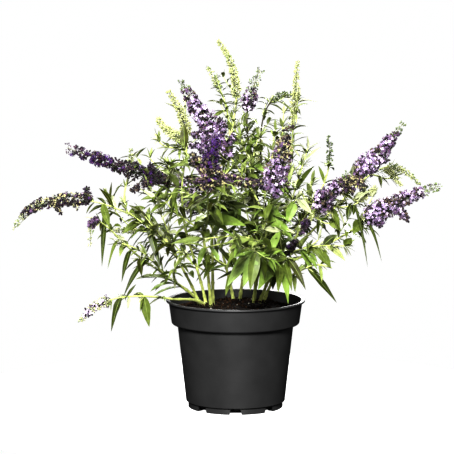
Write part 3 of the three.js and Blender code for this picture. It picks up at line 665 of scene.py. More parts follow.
# The habit of a shoot: the tints of its leaves, what the source's leaves are scaled by, since
# the plant bears more of them than its solid, how many of its nodes bear extra growth, how
# many of the source's side twigs stand, and how wide its leaves are for their length.
# Shoots in shade take darker tints as painted shade, those in the sun lighter ones as painted
# light.
HABITS = {
    "nw_violet": Habit("west", 0.56, 0.4, 0.3, 0.21),
    "w_violet": Habit("west", 0.48, 0.25, 0.3, 0.21),
    "w_upright": Habit("west", 0.5, 0.3, 0.2, 0.16),
    "w_drooping": Habit("west", 0.42, 0, 0, 0.2),
    "w_skirt": Habit("middle", 0.36, 0.06, 0, 0.15),
    "sw_leafy": Habit("west", 0.32, 0, 0, 0.18),
    "top_pale": Habit("middle", 0.6, 0.7, 0.5, 0.2),
    "top_bud": Habit("middle", 0.5, 0.3, 0.1, 0.2),
    "nw_pale": Habit("young", 0.52, 0.6, 0.5, 0.17),
    "nw_pale_side": Habit("young", 0.5, 0.5, 0.4, 0.17),
    "top_lilac": Habit("middle", 0.68, 0.85, 0.8, 0.25),
    "s_violet": Habit("middle", 0.66, 0.6, 0.6, 0.26),
    "s_lilac": Habit("leafy", 0.62, 0.55, 0.5, 0.26),
    "top_mixed": Habit("middle", 0.66, 0.7, 0.8, 0.25),
    "c_leafy": Habit("sun", 0.95, 0.5, 0.6, 0.3),
    "n_nodding": Habit("middle", 0.52, 0.4, 0.4, 0.2),
    "ne_pale": Habit("young", 0.6, 0.6, 0.4, 0.17),
    "ne_bud": Habit("middle", 0.56, 0.2, 0.1, 0.22),
    "e_pale": Habit("young", 0.27, 0, 0, 0.15),
    "e_lilac": Habit("young", 0.5, 0.4, 0.2, 0.2),
    "e_lilac_side": Habit("young", 0.5, 0.4, 0, 0.2),
    "e_low_lilac": Habit("leafy", 0.45, 0.3, 0.1, 0.18),
    "nw_low": Habit("shade", 0.65, 0.5, 0.5, 0.18),
    "ne_low": Habit("shade", 0.7, 0.7, 0.6, 0.22),
    "s_leafy": Habit("leafy", 0.62, 0.35, 0.3, 0.27),
    "se_leafy": Habit("leafy", 0.38, 0, 0, 0.2),
}
HABIT_ELSE = Habit("middle", 0.72, 0.8, 0.8, 0.21)
# What grows straight on the stems: its habit, the share of a stem's leaves that stand, and
# how long they are.
Undergrowth = namedtuple("Undergrowth", "habit share small large")
AMONG_WEST = Undergrowth(Habit("west", 1, 0.15, 0, 0.22), 0.38, 30, 58)
AMONG_EAST = Undergrowth(Habit("leafy", 1, 0.8, 0, 0.26), 1, 42, 78)


def grow_leaf(growth, spaces, dice, mass, root, way, spread, length, habit, own_limb=None):
    fitted = fit_leaf(spaces, mass, root, *way, spread, length, own_limb)
    if fitted is None:
        return
    out, lift, grown = fitted
    kind = "broad" if grown > BROAD_FROM else "slight"
    slender = habit.slender * dice.between(*WIDTH_SPAN)
    most = SLENDER_DROOP if habit.slender < SLENDER_HABIT else DROOP
    droop = LEAF["droop"] * dice.between(LEAST_DROOP, most)
    tint = dice.pick(LEAF_TINTS[habit.tints])
    growth.leaf(kind, root, out, lift, grown, slender, droop, dice, tint)


def grow_tuft(growth, dice, root, way, size, count):
    """Young leaves that stand close together in an axil or at a twig's tip."""
    tangent, aside = way
    square = np.cross(tangent, aside)
    for k in range(count):
        turn = dice.between(-YOUNG_LEAF["turn"], YOUNG_LEAF["turn"]) + 180 * (k % 2)
        beside = between(aside, square, turn)
        out = unit(between(tangent, beside, dice.between(*YOUNG_LEAF["lean"])))
        length = size * dice.between(*YOUNG_LEAF["length"])
        growth.leaf("slight", root, out, unit(tangent * 0.4 + UP), length,
                    dice.between(*YOUNG_LEAF["slender"]), dice.between(*YOUNG_LEAF["droop"]),
                    dice, dice.pick(LEAF_TINTS["young"]))


def twig_curve(spaces, mass, root, out, length, own_limb=None):
    """The course of a twig, or None where it would leave its mass's space."""
    end = root + out * length + UP * length * TWIG["rise"]
    onward = unit(out + UP * 4 * TWIG["rise"])
    curve = Curve(root, out, end, onward)
    inside = spaces.hold(mass, curve.points(TESTED_AT), TWIG["margin"], own_limb)
    return curve if inside.all() else None


def grow_twig(growth, spaces, dice, fine, mass, root, out, size, habit, flowering):
    """A side twig of the source's rule, with more leaves than its solid has."""
    length = TWIG["length"] * size * dice.between(*TWIG["vary"])
    turn = dice.between(0, 90)
    curve = twig_curve(spaces, mass, root, out, length)
    if curve is None:
        return
    leaf_lengths = [LEAF["length_top"] * size * dice.between(*TWIG["leaf"]) for _ in range(4)]
    if fine.roll() > habit.twigs:
        return
    growth.limb(curve, 0, 1, "twig", "twig")
    for k, t in enumerate(TWIG["pairs_at"]):
        for arm, way in enumerate(pair_ways(curve, t, turn + 90 * k)):
            leaf_root = curve.points(t - arm * LEAF["stagger"] / length)
            grow_leaf(growth, spaces, fine, mass, leaf_root, way, TWIG["leaf_spread"],
                      leaf_lengths[2 * k + arm] * TWIG["leaf_life"], habit)
            grow_tuft(growth, fine, leaf_root, way, *YOUNG["twig"])
    second_pairs = TWIG["second_pairs_at"]
    if fine.roll() >= habit.fullness:
        second_pairs = second_pairs[1:]
    for k, t in enumerate(second_pairs):
        for way in pair_ways(curve, t, turn + 45 + 90 * k):
            leaf_length = LEAF["length_top"] * size * fine.between(*TWIG["second_leaf"])
            grow_leaf(growth, spaces, fine, mass, curve.points(t), way, TWIG["leaf_spread"],
                      leaf_length, habit)
    tip, tangent = curve.points(1.0), curve.tangents(1.0)
    grow_tuft(growth, fine, tip, pair_ways(curve, 1.0, turn)[0], *YOUNG["twig_tip"])
    if flowering and fine.roll() < SPRAY["chance"]:
        end = tip + unit(tangent + UP * SPRAY["lift"]) * SPRAY["length"]
        grow_spike(growth, fine, Curve(tip, tangent, end, unit(tangent + UP)), 0.0, "spray")


def grow_fine_twig(growth, spaces, fine, mass, root, out, size, habit, own_limb=None):
    """A twig too fine for the solids, with three pairs of small leaves."""
    length = fine.between(*FINE_TWIG["length"]) * size
    curve = twig_curve(spaces, mass, root, out, length, own_limb)
    if curve is None:
        return
    growth.limb(curve, 0, 1, "fine_twig", "twig")
    turn = fine.between(0, 90)
    for k, t in enumerate(FINE_TWIG["pairs_at"]):
        for way in pair_ways(curve, t, turn + 90 * k):
            grow_leaf(growth, spaces, fine, mass, curve.points(t), way, FINE_TWIG["spread"],
                      fine.between(*FINE_TWIG["leaf"]) * size, habit, own_limb)
    grow_tuft(growth, fine, curve.points(1.0), pair_ways(curve, 1.0, turn)[0],
              *YOUNG["fine_tip"])


def grow_shoot(growth, leader, spaces):
    """The leafy part of a leader: pairs of leaves, side twigs and its flower spike."""
    curve, mass, size = leader["curve"], leader["mass"], leader["size"]
    start, spike = leader["from"], leader["spike"]
    dice = Dice(leader["index"] + SEEDS["shoot"])
    fine = Dice(leader["index"] + SEEDS["fine"])
    habit = HABITS.get(leader["name"], HABIT_ELSE)
    top = 1.0 if spike == "none" else leader["spike_from"] + INTO_SPIKE
    nodes, t, k = [], start + FIRST_NODE / curve.length, 0
    while t < top - 0.01:
        nodes.append(t)
        rise = (t - start) / (top - start)
        turn = 45 + 90 * k + dice.between(-NODE_TWIST, NODE_TWIST)
        leaf_length = (LEAF["length"] + (LEAF["length_top"] - LEAF["length"]) * rise) * size
        for arm, way in enumerate(pair_ways(curve, t, turn)):
            grown = leaf_length * dice.between(*LEAF["vary"]) * habit.life
            root = curve.points(t + arm * LEAF["stagger"] / curve.length)
            grow_leaf(growth, spaces, fine, mass, root, way, LEAF["spread"], grown, habit)
            axil = curve.points(t + TWIG["above"] / curve.length)
            out = between(*way, TWIG["angle"])
            if k % TWIG["every"] == 1 and arm == (k // TWIG["every"]) % 2:
                grow_twig(growth, spaces, dice, fine, mass, axil, out, size, habit,
                          spike != "none" and rise > SPRAY["above"])
            elif fine.roll() < habit.fullness:
                grow_fine_twig(growth, spaces, fine, mass, axil, out, size, habit)
            grow_tuft(growth, fine, root, way, *YOUNG["node"])
        step = (NODE_SPACING + (NODE_SPACING_TOP - NODE_SPACING) * rise) / curve.length
        if t + step / 2 < top and fine.roll() < habit.fullness:
            nodes.append(t + step / 2)
            root = curve.points(t + step / 2)
            twist = fine.between(-HALF_NODE["twist"], HALF_NODE["twist"])
            for way in pair_ways(curve, t + step / 2, turn + 90 + twist):
                grow_leaf(growth, spaces, fine, mass, root, way, LEAF["spread"],
                          leaf_length * habit.life * fine.between(*HALF_NODE["leaf"]), habit)
                grow_tuft(growth, fine, root, way, *YOUNG["half_node"])
        t += step
        k += 1
    kind = "dark_shoot" if leader["name"] in DARK_SHOOTS else "shoot"
    growth.limb(curve, start, min(1.0, top), "shoot", kind, nodes)
    if spike != "none":
        palette = PALETTES.get(leader["name"], spike)
        grow_spike(growth, fine, curve, leader["spike_from"], palette)


def grow_bough(growth, leader, spaces):
    """The bare foot of a leader, and the few leaves that stand on it."""
    curve, bare = leader["bough"], leader["bare"]
    mass, name = leader["mass"], leader["name"]
    fine = Dice(leader["index"] + SEEDS["bough"])
    habit = HABITS.get(name, HABIT_ELSE)
    nodes, t = [], ON_BOUGH["first"] / curve.length
    while t < bare:
        nodes.append(t)
        root = curve.points(t)
        twist = fine.between(-ON_BOUGH["twist"], ON_BOUGH["twist"])
        for way in pair_ways(curve, t, 90 * len(nodes) + twist):
            grow_leaf(growth, spaces, fine, mass, root, way, ON_BOUGH["spread"],
                      fine.between(*ON_BOUGH["leaf"]) * habit.life, habit, name)
            grow_tuft(growth, fine, root, way, *YOUNG["bough"])
            if fine.roll() < habit.fullness:
                out = between(*way, fine.between(*ON_BOUGH["twig_angle"]))
                grow_fine_twig(growth, spaces, fine, mass, root, out,
                               fine.between(*ON_BOUGH["twig_size"]), habit, name)
        t += ON_BOUGH["spacing"] / curve.length
    growth.limb(curve, 0, bare, "bough", "bough", nodes)
    springs_from_side = LEADERS[name][1] != 1
    if springs_from_side:
        grow_joint(growth, leader)


JOINT = {"sunk": 2, "until": 0.03}  # its depth in the stem, and how far up the bough it goes


def grow_joint(growth, leader):
    """The short neck that carries a bough from the middle of its stem to its seat."""
    bough, root, out = leader["bough"], leader["root"], leader["root_out"]
    course = Curve(root - out * JOINT["sunk"], unit(bough.knots[0] - root + out),
                   bough.points(JOINT["until"]), bough.tangents(JOINT["until"]))
    growth.limb(course, 0, 1, "joint", "bough")


def grow_stem(growth, name, curve, index, spaces):
    """A stem, with pairs of leaves and thin leafy shoots on its upper part."""
    fine = Dice(index + SEEDS["stem"])
    habit, share, small, large = AMONG_WEST if name.startswith("west") else AMONG_EAST
    nodes, t, k = [], ON_STEM["first"] / curve.length, 0
    while t < ON_STEM["until"]:
        nodes.append(t)
        root = curve.points(t)
        if root[2] > ON_STEM["above"]:
            twist = fine.between(-ON_STEM["twist"], ON_STEM["twist"])
            for arm, way in enumerate(pair_ways(curve, t, 90 * k + twist)):
                if fine.roll() < share:
                    grow_leaf(growth, spaces, fine, None, root, way, ON_STEM["spread"],
                              fine.between(small, large), habit, name)
                    grow_tuft(growth, fine, root, way, *YOUNG["stem"])
                if arm == k % 2 and fine.roll() < habit.fullness:
                    grow_thin_shoot(growth, spaces, fine, root, way, large, habit, name)
        t += ON_STEM["spacing"] / curve.length
        k += 1
    growth.limb(curve, 0.0, 1.0, "stem", "stem", nodes)


def grow_thin_shoot(growth, spaces, fine, root, way, size, habit, own_limb):
    """A thin shoot among the stems, which rises and bears pairs of leaves."""
    length = fine.between(*THIN_SHOOT["length"])
    out = between(*way, fine.between(*THIN_SHOOT["angle"]))
    end = root + out * length + UP * length * fine.between(*THIN_SHOOT["rise"])
    curve = Curve(root, out, end, unit(out + UP * fine.between(*THIN_SHOOT["turn_up"])))
    if not spaces.hold(None, curve.points(TESTED_AT), THIN_SHOOT["margin"], own_limb).all():
        return
    turn, t, k, nodes = fine.between(0, 90), THIN_SHOOT["first"] / length, 0, []
    while t < THIN_SHOOT["until"]:
        nodes.append(t)
        leaf_root = curve.points(t)
        for leaf_way in pair_ways(curve, t, turn + 90 * k):
            leaf = size * (1 - THIN_SHOOT["taper"] * t) * fine.between(*THIN_SHOOT["leaf"])
            grow_leaf(growth, spaces, fine, None, leaf_root, leaf_way, THIN_SHOOT["spread"],
                      leaf, habit, own_limb)
            grow_tuft(growth, fine, leaf_root, leaf_way, *YOUNG["thin_shoot"])
        t += THIN_SHOOT["spacing"] / length
        k += 1
    grow_tuft(growth, fine, curve.points(1.0), pair_ways(curve, 1.0, turn)[0],
              *YOUNG["thin_tip"])
    growth.limb(curve, 0, 1, "thin_shoot", "shoot", nodes)


def grow_placed_shoot(growth, spaces, dice, curve, leaf_length, habit, parent):
    """A thin shoot on its own course, with tufts at its nodes and longer leaves, if any."""
    nodes, t, k = [], PLACED["first"] / curve.length, 0
    while t < 1:
        nodes.append(t)
        root = curve.points(t)
        for way in pair_ways(curve, t, 90 * k + dice.between(-PLACED["twist"], PLACED["twist"])):
            grow_tuft(growth, dice, root, way, *YOUNG["placed"])
            if leaf_length:
                tapered = leaf_length * (PLACED["foot_leaf"] - PLACED["taper"] * t)
                grow_leaf(growth, spaces, dice, None, root, way, PLACED["spread"],
                          tapered * dice.between(*PLACED["leaf"]), habit, parent)
        t += PLACED["spacing"] / curve.length
        k += 1
    growth.limb(curve, 0, 1, "placed", "shoot", nodes)
    grow_tuft(growth, dice, curve.knots[3], pair_ways(curve, 1.0, 45)[0],
              *YOUNG["placed_tip"])


def grow_placed(growth, stems, leaders, spaces):
    """The shoots, side spikes and leaves that have a place of their own."""
    limbs = {**stems, **{name: row["curve"] for name, row in leaders.items()}}
    dice = Dice(SEEDS["placed"])
    for name, row in PLACED_SHOOTS.items():
        parent, share, tip, turn, pitch, leaf_length, habit = row
        root, tip = limbs[parent].points(share), np.array(tip, float)
        out = unit(limbs[parent].tangents(share) * 0.6 + unit(tip - root))
        limbs[name] = Curve(root, out, tip, heading(turn, pitch))
        grow_placed_shoot(growth, spaces, dice, limbs[name], leaf_length, HABITS[habit],
                          parent)
    for limb, share, tip, palette in PLACED_SPIKES:
        root, tip = limbs[limb].points(share), np.array(tip, float)
        out = unit(limbs[limb].tangents(share) + unit(tip - root))
        grow_spike(growth, dice, Curve(root, out, tip, unit(tip - root)), 0.0, palette)
    for limb, share, tip, width, arch, tint in PLACED_LEAVES:
        growth.placed_leaf(limbs[limb].points(share), np.array(tip, float), width, arch,
                           dice, tint)


# ---------------------------------------------------------------- flower spikes

# The palette of a leader's spike, where it is another than its kind of spike has.
PALETTES = {
    "s_lilac": "lilac_brown_top", "nw_violet": "dusky", "w_violet": "sparse",
    "top_pale": "tall_pale", "nw_pale": "lime", "nw_pale_side": "lime",
    "top_mixed": "mixed", "n_nodding": "dark_bud", "w_skirt": "pale_first",
    "w_drooping": "drooping", "ne_bud": "dark_bud", "e_lilac": "slender_lilac",
    "e_lilac_side": "slender_lilac",
}
LILAC = (("open:lilac", 5), ("open:pale_lilac", 3), ("open:mauve", 4), ("spent:brown", 1),
         ("bud:plum", 2))
LILAC_SPIKE = (
    (0.10, (("spent:brown", 3), ("open:mauve", 2), ("open:lilac", 2), ("spent:straw", 2))),
    (0.74, LILAC),
    (0.86, (("open:mauve", 2), ("bud:plum", 4), ("bud:green", 1), ("spent:brown", 1))),
    (1.0, (("bud:green", 4), ("bud:dark_green", 3))),
)
# A palette: the radius of the spike, the distance between whorls, the cymes in a whorl, the
# heads in a cyme and their size, the length of its longest bract, and from the spike's foot
# up, what its heads are as far as that share of it.
BLOOM = {
    "lilac": (24, 7.0, 6, 6, 0.74, 8, LILAC_SPIKE),
    "slender_lilac": (19, 7.2, 6, 6, 0.72, 7, LILAC_SPIKE),
    "lilac_brown_top": (26, 7.4, 6, 6, 0.74, 8, (
        (0.52, LILAC),
        (0.62, (("open:lilac", 3), ("spent:brown", 2), ("spent:straw", 2))),
        (0.86, (("spent:straw", 4), ("spent:brown", 3), ("open:mauve", 1),
                ("bud:green", 1))),
        (1.0, (("spent:brown", 3), ("bud:dark_green", 2), ("bud:green", 3))))),
    "slim": (20, 6.8, 6, 6, 0.74, 7, (
        (0.25, LILAC),
        (0.45, (("spent:brown", 4), ("open:lilac", 3), ("open:pale_lilac", 2))),
        (0.86, (("open:lilac", 4), ("open:mauve", 2), ("open:pale_lilac", 3),
                ("spent:brown", 3), ("bud:plum", 1))),
        (1.0, (("bud:green", 4), ("bud:plum", 1))))),
    "violet": (22, 7.4, 6, 4, 0.86, 6, (
        (0.42, (("spent:brown", 5), ("open:mauve", 2), ("open:violet", 1.5),
                ("spent:straw", 4), ("bud:plum", 2))),
        (0.9, (("open:violet", 7), ("open:deep_violet", 5), ("bud:plum", 1.5),
               ("spent:brown", 1))),
        (1.0, (("bud:plum", 3), ("open:violet", 1))))),
    "dusky": (15, 7.0, 5, 4, 0.82, 5, (
        (0.16, (("spent:dark", 5), ("open:dusk", 2), ("bud:dark_green", 2))),
        (0.42, (("spent:dark", 5), ("open:dusk", 3), ("bud:plum", 2), ("open:violet", 1))),
        (0.78, (("open:deep_violet", 4), ("open:violet", 2), ("open:dusk", 3),
                ("bud:plum", 2))),
        (0.95, (("open:violet", 3), ("open:dusk", 3), ("bud:plum", 3), ("bud:rose", 2))),
        (1.0, (("bud:plum", 3), ("bud:rose", 2))))),
    "sparse": (13, 7.6, 5, 5, 0.74, 5, (
        (0.45, (("spent:dark", 3.5), ("open:dusk", 1.5), ("bud:plum", 1), ("bud:pale", 6),
                ("open:mauve", 2.5), ("spent:straw", 4))),
        (0.72, (("open:dusk", 2), ("spent:dark", 2), ("bud:plum", 2), ("bud:pale", 5),
                ("open:mauve", 1.5))),
        (0.86, (("bud:pale", 2), ("bud:green", 2), ("bud:plum", 1.5), ("spent:dark", 1))),
        (1.0, (("bud:green", 1), ("bud:pale", 1))))),
    "tall_pale": (7.5, 5.0, 6, 5, 0.98, 15, (
        (1.0, (("bud:pale", 4), ("bud:lime", 4), ("bud:green", 1))),)),
    "pale": (6.5, 4.8, 6, 5, 0.92, 13, (
        (1.0, (("bud:pale", 5), ("bud:lime", 4), ("bud:green", 1))),)),
    "lime": (9.5, 4.8, 7, 5, 1.0, 10, (
        (1.0, (("bud:lime", 4), ("bud:pale", 5))),)),
    "bud": (6, 5.6, 5, 4, 0.9, 13, (
        (1.0, (("bud:green", 3), ("bud:lime", 2), ("bud:pale", 3))),)),
    "dark_bud": (6, 6.4, 5, 4, 0.95, 9, (
        (0.3, (("bud:dark_green", 4), ("bud:green", 3))),
        (1.0, (("bud:dark_green", 5), ("bud:green", 2))))),
    "mixed": (14, 7.2, 5, 4, 0.84, 8, (
        (0.36, (("open:lilac", 4), ("open:mauve", 2), ("open:pale_lilac", 3),
                ("spent:dark", 2), ("bud:plum", 2))),
        (0.5, (("bud:plum", 2), ("bud:green", 3), ("open:mauve", 1))),
        (1.0, (("bud:green", 3), ("bud:dark_green", 4), ("bud:pale", 1))))),
    "pale_first": (11, 5.6, 5, 4, 0.82, 9, (
        (0.35, (("bud:pale", 4), ("open:pale_lilac", 1), ("bud:plum", 0.6))),
        (0.85, (("bud:pale", 4), ("open:pale_lilac", 2), ("bud:green", 1.5),
                ("bud:plum", 0.8))),
        (1.0, (("bud:pale", 4), ("bud:green", 1))))),
    "drooping": (8, 7.0, 4, 4, 0.76, 6, (
        (0.5, (("open:mauve", 3), ("open:dusk", 2), ("bud:plum", 2))),
        (1.0, (("bud:green", 2), ("bud:pale", 4))))),
    "faded": (12, 6.8, 5, 4, 0.84, 5, (
        (0.55, (("spent:brown", 4), ("open:mauve", 2), ("spent:straw", 4))),
        (1.0, (("spent:brown", 4), ("open:mauve", 4), ("spent:straw", 3),
               ("open:lilac", 1))))),
    "spray": (3.6, 4.4, 4, 3, 0.7, 7, (
        (1.0, (("bud:lime", 3), ("bud:pale", 4), ("bud:green", 1))),)),
    "lilac_side": (12, 7.2, 5, 5, 0.72, 5, ((1.0, LILAC),)),
    "sparse_side": (7, 6.4, 4, 4, 0.72, 4, (
        (1.0, (("bud:pale", 4), ("spent:straw", 2), ("spent:dark", 2), ("bud:plum", 1))),)),
    "shaded_side": (8, 7.0, 4, 4, 0.8, 5, (
        (1.0, (("open:mauve", 4), ("open:violet", 1), ("open:dusk", 3), ("bud:plum", 2))),)),
    "lime_side": (6, 4.8, 5, 5, 0.95, 9, ((1.0, (("bud:lime", 4), ("bud:pale", 5))),)),
    "dusky_side": (9, 7.4, 4, 4, 0.78, 5, (
        (1.0, (("spent:dark", 4), ("open:dusk", 2), ("open:violet", 1), ("bud:plum", 2))),)),
    "faded_side": (11, 7.0, 5, 4, 0.8, 5, (
        (1.0, (("spent:straw", 5), ("spent:brown", 4), ("open:mauve", 1.5),
               ("bud:green", 1))),)),
}
# How wide a spike is at its tip, as a share of its widest: most palettes, and the others.
SPIKE_TIP = 0.24
BLUNT_TIPS = {
    "dusky": 0.6, "slim": 0.36, "mixed": 0.45, "tall_pale": 0.3, "pale": 0.3, "lime": 0.3,
}
GOLDEN_TURN = 137.5
SPIKE = {
    "foot": 0.55, "swell": 4, "taper": 1.5, "least_whorls": 4, "least_cymes": 3,
    "turn": 22, "reach": (0.68, 1.16), "shift": 0.45, "rise": (0.05, 0.6), "stalk": 0.42,
    "stalk_from": 4.5,
}
# Two bracts in each whorl: how they rise, their width for their length, how they hang, and
# the share of their length that they lose towards the tip.
BRACT = {
    "count": 2, "rise": (0.2, 0.9), "length": (0.6, 1), "slender": (0.12, 0.2),
    "droop": (0, 0.9), "taper": 0.7,
}
BRACT_TINTS = (("downy", 3), ("lime", 2), ("mid", 2), ("deep", 1))
# A cyme: the share of its heads that are alike, how far they lean out, and their sizes.
CYME = {"alike": 0.45, "turn": 30, "lean": (8, 64), "size": (0.8, 1.15)}
# Buds, which are smaller in a small cyme, and the faces of florets: how far out they stand,
# as shares of the cyme's reach.
BUD = {"least": 0.85, "growth": 0.3, "full_reach": 8, "reach": (0.1, 0.5)}
FACE = {"out": 0.5, "reach": (0.38, 0.55)}
TUBE = 7.5  # a floret's length, from its foot to its face
SPENT_TUBE = 0.8  # how much of that is left once it is spent
# Near-black buds in a cyme's heart: partly dark stalks, partly painted shade between its florets.
HEART = {"count": 5, "reach": (0.1, 0.68), "size": (1.2, 1.9)}
HEART_SHADE_TINTS = (("dark", 6), ("dusk", 2), ("brown", 0.6), ("dark_green", 1))


def grow_spike(growth, dice, curve, start, palette):
    """Whorls of cymes round the end of a curve, each cyme a small cluster of heads."""
    radius, every, cymes, heads, head_size, bract, stretches = BLOOM[palette]
    length = curve.length * (1 - start)
    whorls = max(SPIKE["least_whorls"], round(length / every))
    blunt = BLUNT_TIPS.get(palette, SPIKE_TIP)
    growth.limb(curve, start, 1, "spike", "stalk")
    for k in range(whorls):
        share = (k + 0.5) / whorls
        t = start + (1 - start) * share
        swell = min(1.0, SPIKE["foot"] + SPIKE["swell"] * share)
        swell *= 1 - (1 - blunt) * share ** SPIKE["taper"]
        tangent, side, over = curve.across(t)
        centre = curve.points(t)
        kinds = next(kinds for until, kinds in stretches if share <= until)
        count = max(SPIKE["least_cymes"], round(cymes * (0.6 + 0.4 * swell)))
        for j in range(count):
            turn = 360 * j / count + GOLDEN_TURN * k
            turn += dice.between(-SPIKE["turn"], SPIKE["turn"])
            aside = between(side, over, turn)
            reach = radius * swell * dice.between(*SPIKE["reach"])
            foot = centre + tangent * dice.between(-SPIKE["shift"], SPIKE["shift"]) * every
            forward = unit(aside + tangent * dice.between(*SPIKE["rise"]))
            stalk_end = foot + forward * reach * SPIKE["stalk"]
            if reach > SPIKE["stalk_from"]:
                growth.limb(Curve(foot, forward, stalk_end, forward), 0, 1, "cyme", "stalk")
            grow_cyme(growth, dice, stalk_end, foot, forward, reach, heads, head_size, kinds)
            if j < BRACT["count"]:
                longest = (radius * 0.5 + bract) * (1 - BRACT["taper"] * share)
                grow_bract(growth, dice, centre, aside, tangent, longest)


def grow_bract(growth, dice, root, aside, tangent, longest):
    way = unit(aside * 0.9 + tangent * dice.between(*BRACT["rise"]))
    growth.leaf("slight", root, way, tangent, longest * dice.between(*BRACT["length"]),
                dice.between(*BRACT["slender"]), dice.between(*BRACT["droop"]), dice,
                dice.pick(BRACT_TINTS))


def grow_cyme(growth, dice, at, foot, forward, reach, heads, head_size, kinds):
    """The heads of a cyme, buds round the end of its stalk and florets round its foot."""
    square = unit(np.cross(forward, UP + OFF_LEVEL))
    over = np.cross(forward, square)
    main = dice.pick(kinds)
    for i in range(heads):
        kind, tint = (main if dice.roll() < CYME["alike"] else dice.pick(kinds)).split(":")
        turn = 360 * i / heads + dice.between(-CYME["turn"], CYME["turn"])
        aim = between(forward, between(square, over, turn), dice.between(*CYME["lean"]))
        scale = head_size * dice.between(*CYME["size"])
        if kind == "bud":
            scale *= BUD["least"] + BUD["growth"] * min(1.0, reach / BUD["full_reach"])
            place = at + aim * reach * dice.between(*BUD["reach"])
        else:
            face = foot + forward * reach * FACE["out"] + aim * reach * dice.between(
                *FACE["reach"])
            place = face - aim * TUBE * scale * (SPENT_TUBE if kind == "spent" else 1)
        growth.heads.append(Head(kind, tint, place, aim, scale, dice.between(0, FULL_TURN)))
    # Near-black buds in the heart, partly painted shade in the gaps between the florets.
    if main.startswith(("open", "spent")):
        for _ in range(HEART["count"]):
            aim = unit(forward + square * dice.between(-1, 1) + over * dice.between(-1, 1))
            place = foot + aim * reach * dice.between(*HEART["reach"])
            growth.heads.append(Head("bud", dice.pick(HEART_SHADE_TINTS), place, aim,
                                     dice.between(*HEART["size"]), 0))


# ---------------------------------------------------------------- shapes that are copied

class Shape:
    """A small closed shape that is copied many times: its points, faces and face kinds."""

    def __init__(self, bm):
        bmesh.ops.recalc_face_normals(bm, faces=bm.faces)
        bm.verts.index_update()
        self.points = np.array([v.co[:] for v in bm.verts])
        self.corners = np.array([v.index for f in bm.faces for v in f.verts])
        self.sizes = np.array([len(f.verts) for f in bm.faces])
        self.kinds = np.array([f.material_index for f in bm.faces])
        self.triangles = int((self.sizes - 2).sum())
        bm.free()


def rod_shape(sides, steps):
    """A closed rod along Z from 0 to 1, with `steps` lengths."""
    bm = bmesh.new()
    bmesh.ops.create_cone(bm, cap_ends=True, cap_tris=False, segments=sides,
                          radius1=1, radius2=1, depth=1)
    bmesh.ops.translate(bm, verts=bm.verts, vec=(0, 0, 0.5))
    upright = [e for e in bm.edges if abs(e.verts[0].co.z - e.verts[1].co.z) > 0.5]
    if steps > 1:
        bmesh.ops.subdivide_edges(bm, edges=upright, cuts=steps - 1, use_grid_fill=True)
    return Shape(bm)


RIB, BLADE, UNDERSIDE = 0, 1, 2
# A blade's thickness and its rib's, as shares of the leaf's length, and how pointed it is.
THICK, RIB_THICK, RIB_ABOVE = 0.004, 0.006, 0.6
POINTED = 0.8


def leaf_width(along):
    """A lance shape: how wide the blade is at a place along it, as a share of its widest."""
    widest = LEAF["widest"]
    base = (along / widest) ** POINTED
    tip = ((1 - along) / (1 - widest)) ** (POINTED * (1 - widest) / widest)
    return max(0.0, base * tip)


def leaf_shape(lengths, columns):
    """A closed thin blade: X along it from 0 to 1, Y across it from -1 to 1. `columns` are
    the places of its long edges across it, and its middle column, if any, is the rib."""
    bm = bmesh.new()
    count = len(columns) - 1
    bmesh.ops.create_grid(bm, x_segments=lengths, y_segments=count, size=0.5)
    for face in bm.faces:
        middle = face.calc_center_median().y
        is_rib = count % 2 == 1 and abs(middle) < 0.5 / count
        face.material_index = RIB if is_rib else BLADE
    back = bmesh.ops.duplicate(bm, geom=bm.verts[:] + bm.edges[:] + bm.faces[:])["geom"]
    back_verts = {v for v in back if isinstance(v, bmesh.types.BMVert)}
    for face in back:
        if isinstance(face, bmesh.types.BMFace):
            face.material_index = UNDERSIDE
    for vert in bm.verts:
        along = vert.co.x + 0.5
        across = columns[round((vert.co.y + 0.5) * count)]
        width = leaf_width(along)
        edge = abs(across) > 0.99 or along < 0.001 or along > 0.999
        thick = 0.0 if edge else THICK
        rib = RIB_THICK if abs(across) < 0.2 and not edge else 0.0
        below = vert in back_verts
        height = -(thick + rib) if below else thick - rib * RIB_ABOVE
        vert.co = (along, across * width, height)
    bmesh.ops.remove_doubles(bm, verts=bm.verts, dist=1e-5)
    return Shape(bm)


PETAL, EYE_FACE, TUBE_SIDE = 0, 1, 2
# A floret: the radius of its lobes and of its throat, how deep the throat lies, the radius of
# its foot, how far in the notches between its lobes come, how far both rise over the tube's
# end, and how deep its face is dished.
FLORET = {
    "lobes": 3.9, "throat": 0.75, "throat_depth": 0.9, "foot": 0.5, "notch": 0.4,
    "lobe_rise": 0.55, "notch_rise": 0.1, "dish": 0.5,
}
EYE = {"foot": 0.62, "top": 0.1, "height": 0.6, "rise": 0.2}


